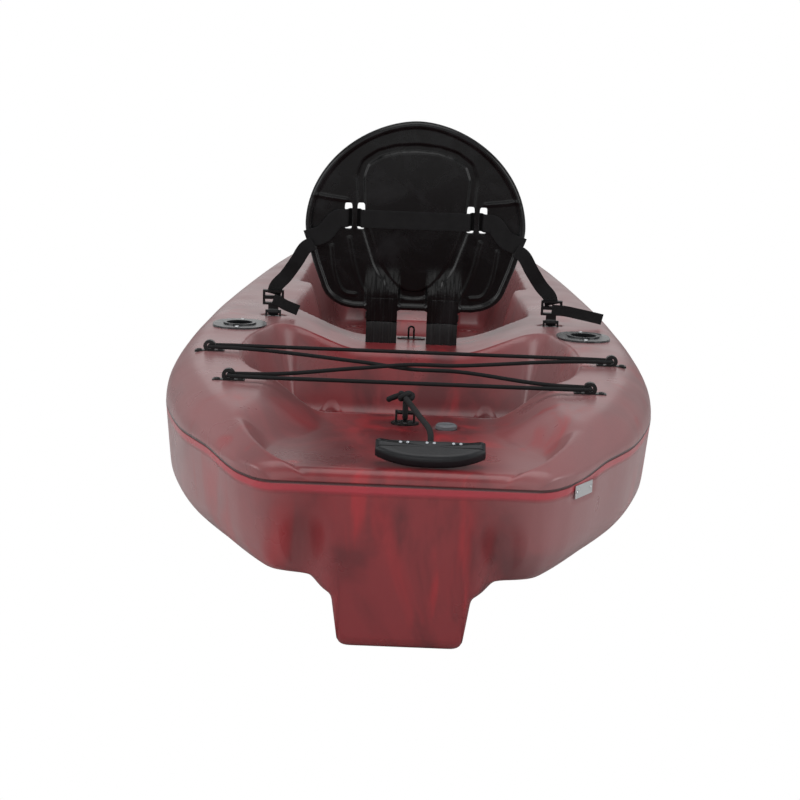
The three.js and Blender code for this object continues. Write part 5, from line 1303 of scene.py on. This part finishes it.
# Webbing: across the panel's back, the side straps down to the buckles, and their loose tails
WEB_REAR, WEB_RIM, WEB_THICK = -5.1, -10.1, 1.6
BACK_HEIGHT, WEDGE_DROP, WEB_EDGE, ANCHOR_X = 178.0, 40.0, 3.0, 0.6404 * HALF_BEAM
BACK_WIDE, STRAP_WIDE, TAIL_WIDE = 33, 25, 20
THREAD = SLOT_WIDE * 0.2
web_half = [
    (0, WEB_REAR, 0),
    (SLOT_INNER - THREAD, WEB_REAR, 0), (SLOT_INNER, 0, 0), (SLOT_INNER + THREAD, -WEB_REAR, 0),
    (SLOT_OUTER - THREAD, -WEB_REAR, 0), (SLOT_OUTER, 0, 0), (SLOT_OUTER + THREAD, WEB_REAR, 0),
    (SLOT_OUTER + SLOT_WIDE, WEB_REAR - 0.6, 0), (PANEL_HALF - RIM_WIDE * 2.4, WEB_RIM, 0.74),
    (PANEL_HALF - WEB_EDGE, WEB_RIM, 1),
]


def add_webbing(name, stations, across, wide, node):
    """A ribbon of webbing along stations in the seat back's frame, standing for a CAD node."""
    across = np.broadcast_to(np.asarray(across, float), (len(stations), 3))
    ribbon = changed(ribbon_parts(stations, across, wide, WEB_THICK), in_seat)
    add_piece(name, ribbon, "backrest", "webbing", node)


right = np.array([(x, y, BACK_HEIGHT - drop * WEDGE_DROP) for x, y, drop in web_half])
line = np.concatenate([right[:0:-1] * [-1, 1, 1], right])
add_webbing("back_strap", line, (0, 0, 1), BACK_WIDE, "back_webbing")

STRAP_SHARES = [(0, 0, 1), (0.19, 0.08, 1), (0.42, 0.35, 0.7), (0.7, 0.66, 0), (0.95, 0.87, 0), (1, 1, 0)]
TAIL_SHARES = (0, 0.24, 0.5, 0.77, 1)
TAILS = {"right": (92, (1, 0.96, 0.8, 0.6, 0.42)), "left": (-46, (1, 0.83, 0.58, 0.38, 0.21))}
STRAP_CLEAR, STRAP_FOOT, STRAP_FACE, TAIL_TOP, TAIL_STEP = 1.2, 31.0, 4.6, 24, 0.8
strap_y = WEB_RIM - WEB_THICK - STRAP_CLEAR
strap_start = PANEL_HALF - WEB_EDGE - RIM_WIDE
strap_fall = BACK_HEIGHT - WEDGE_DROP - 2 * WEB_EDGE - STRAP_FOOT
for name, sign in (("left", -1), ("right", 1)):
    stations = [
        (sign * (strap_start + (ANCHOR_X - strap_start) * out), STRAP_FACE + (strap_y - STRAP_FACE) * rear,
         STRAP_FOOT + strap_fall * (1 - down))
        for out, down, rear in STRAP_SHARES
    ]
    guides = [(1, 0, sign * 0.5 if i < 4 else 0) for i in range(len(stations))]
    add_webbing("strap_" + name, stations, guides, STRAP_WIDE, "side_strap_" + name)
    reach, heights = TAILS[name]
    stations = [
        (sign * (ANCHOR_X + reach * share), -STRAP_FACE - min(i, 2) * TAIL_STEP, TAIL_TOP * height)
        for i, (share, height) in enumerate(zip(TAIL_SHARES, heights))
    ]
    add_webbing("tail_" + name, stations, (-sign * 0.45, 0, 1), TAIL_WIDE, "strap_tail_" + name)

# The CAD's own pieces that stay: finishes, and small rounded edges
SLOTS = {part["node"]: part["material_slot"] for part in frame["record"]["subparts"]}
OTHER_LOOKS = {
    "hinge_pin_left": "black_metal", "hinge_pin_right": "black_metal",
    "rod_holder_left": "holder_plastic", "rod_holder_right": "holder_plastic",
}
EDGE, SMALL_EDGE, EDGE_ANGLE = 0.0007, 0.0003, math.radians(35)
for name, thing in frame["nodes"].items():
    thing.data.materials.clear()
    thing.data.materials.append(LOOKS[OTHER_LOOKS.get(name, SLOTS[name])])
    if name in ("hull", "seat_panel", "seat_pad", "bungee", "stern_rope", "stern_grip"):
        continue
    thing.data.polygons.foreach_set("use_smooth", np.ones(len(thing.data.polygons), bool))
    round_edge = thing.modifiers.new("edges", "BEVEL")
    small = "screw" in name or "rivet" in name or name == "data_plate"
    round_edge.width = SMALL_EDGE if small else EDGE
    round_edge.segments = 2
    round_edge.limit_method = "ANGLE"
    round_edge.angle_limit = EDGE_ANGLE
    flat = thing.modifiers.new("flat faces", "WEIGHTED_NORMAL")
    flat.keep_sharp = False

# Floor, world and lights
FLOOR_HALF = 30
WHITE, PALE_FLOOR = (1, 1, 1, 1), (0.6, 0.6, 0.6, 1)
floor_mesh = bpy.data.meshes.new("floor")
corners = [(x * FLOOR_HALF, y * FLOOR_HALF, 0) for x, y in ((-1, -1), (1, -1), (1, 1), (-1, 1))]
floor_mesh.from_pydata(corners, [], [(0, 1, 2, 3)])
floor = bpy.data.objects.new("floor", floor_mesh)
bpy.context.scene.collection.objects.link(floor)
floor_look, floor_tree, floor_shader = new_material("floor")
feed(floor_tree, floor_shader, {"Base Color": PALE_FLOOR, "Roughness": 0.9})
floor_mesh.materials.append(floor_look)
seen = put(floor_tree, "ShaderNodeLightPath").outputs["Is Camera Ray"]
glow = put(floor_tree, "ShaderNodeEmission", {"Color": WHITE})
mix = put(floor_tree, "ShaderNodeMixShader", {0: seen, 1: floor_shader.outputs[0], 2: glow.outputs[0]})
floor_tree.links.new(mix.outputs[0], floor_tree.nodes["Material Output"].inputs["Surface"])

world = bpy.data.worlds.new("studio")
bpy.context.scene.world = world
world.use_nodes = True
tree = world.node_tree
tree.nodes.clear()
seen = put(tree, "ShaderNodeLightPath").outputs["Is Camera Ray"]
soft = put(tree, "ShaderNodeBackground", {"Color": WHITE, "Strength": 0.3})
white = put(tree, "ShaderNodeBackground", {"Color": WHITE, "Strength": 1.0})
mix = put(tree, "ShaderNodeMixShader", {0: seen, 1: soft.outputs[0], 2: white.outputs[0]})
put(tree, "ShaderNodeOutputWorld", {"Surface": mix.outputs[0]})


def area_light(name, place, target, size, power):
    """A soft square light aimed at a point."""
    light = bpy.data.lights.new(name, "AREA")
    light.size = size
    light.energy = power
    thing = bpy.data.objects.new(name, light)
    bpy.context.scene.collection.objects.link(thing)
    aim = Vector(target) - Vector(place)
    thing.matrix_world = Matrix.Translation(place) @ aim.to_track_quat("-Z", "Y").to_matrix().to_4x4()


# Name, place, target, size in metres, power in watts
LIGHTS = [
    ("top", (0, -1.5, 3.2), (0, -1.1, 0), 2.6, 54),
    ("back", (0, 5.2, 2.2), (0, -0.6, 0.2), 4.0, 22),
    ("front", (-0.4, -4.6, 0.9), (0, -1.4, 0.15), 2.4, 24),
    ("left", (-3.2, -2.3, 1.5), (-0.3, -1.2, 0.2), 2.4, 66),
    ("right", (3.2, -2.3, 1.5), (0.3, -1.2, 0.2), 2.4, 60),
]
for light in LIGHTS:
    area_light(*light)

bpy.context.scene.view_settings.view_transform = "Standard"
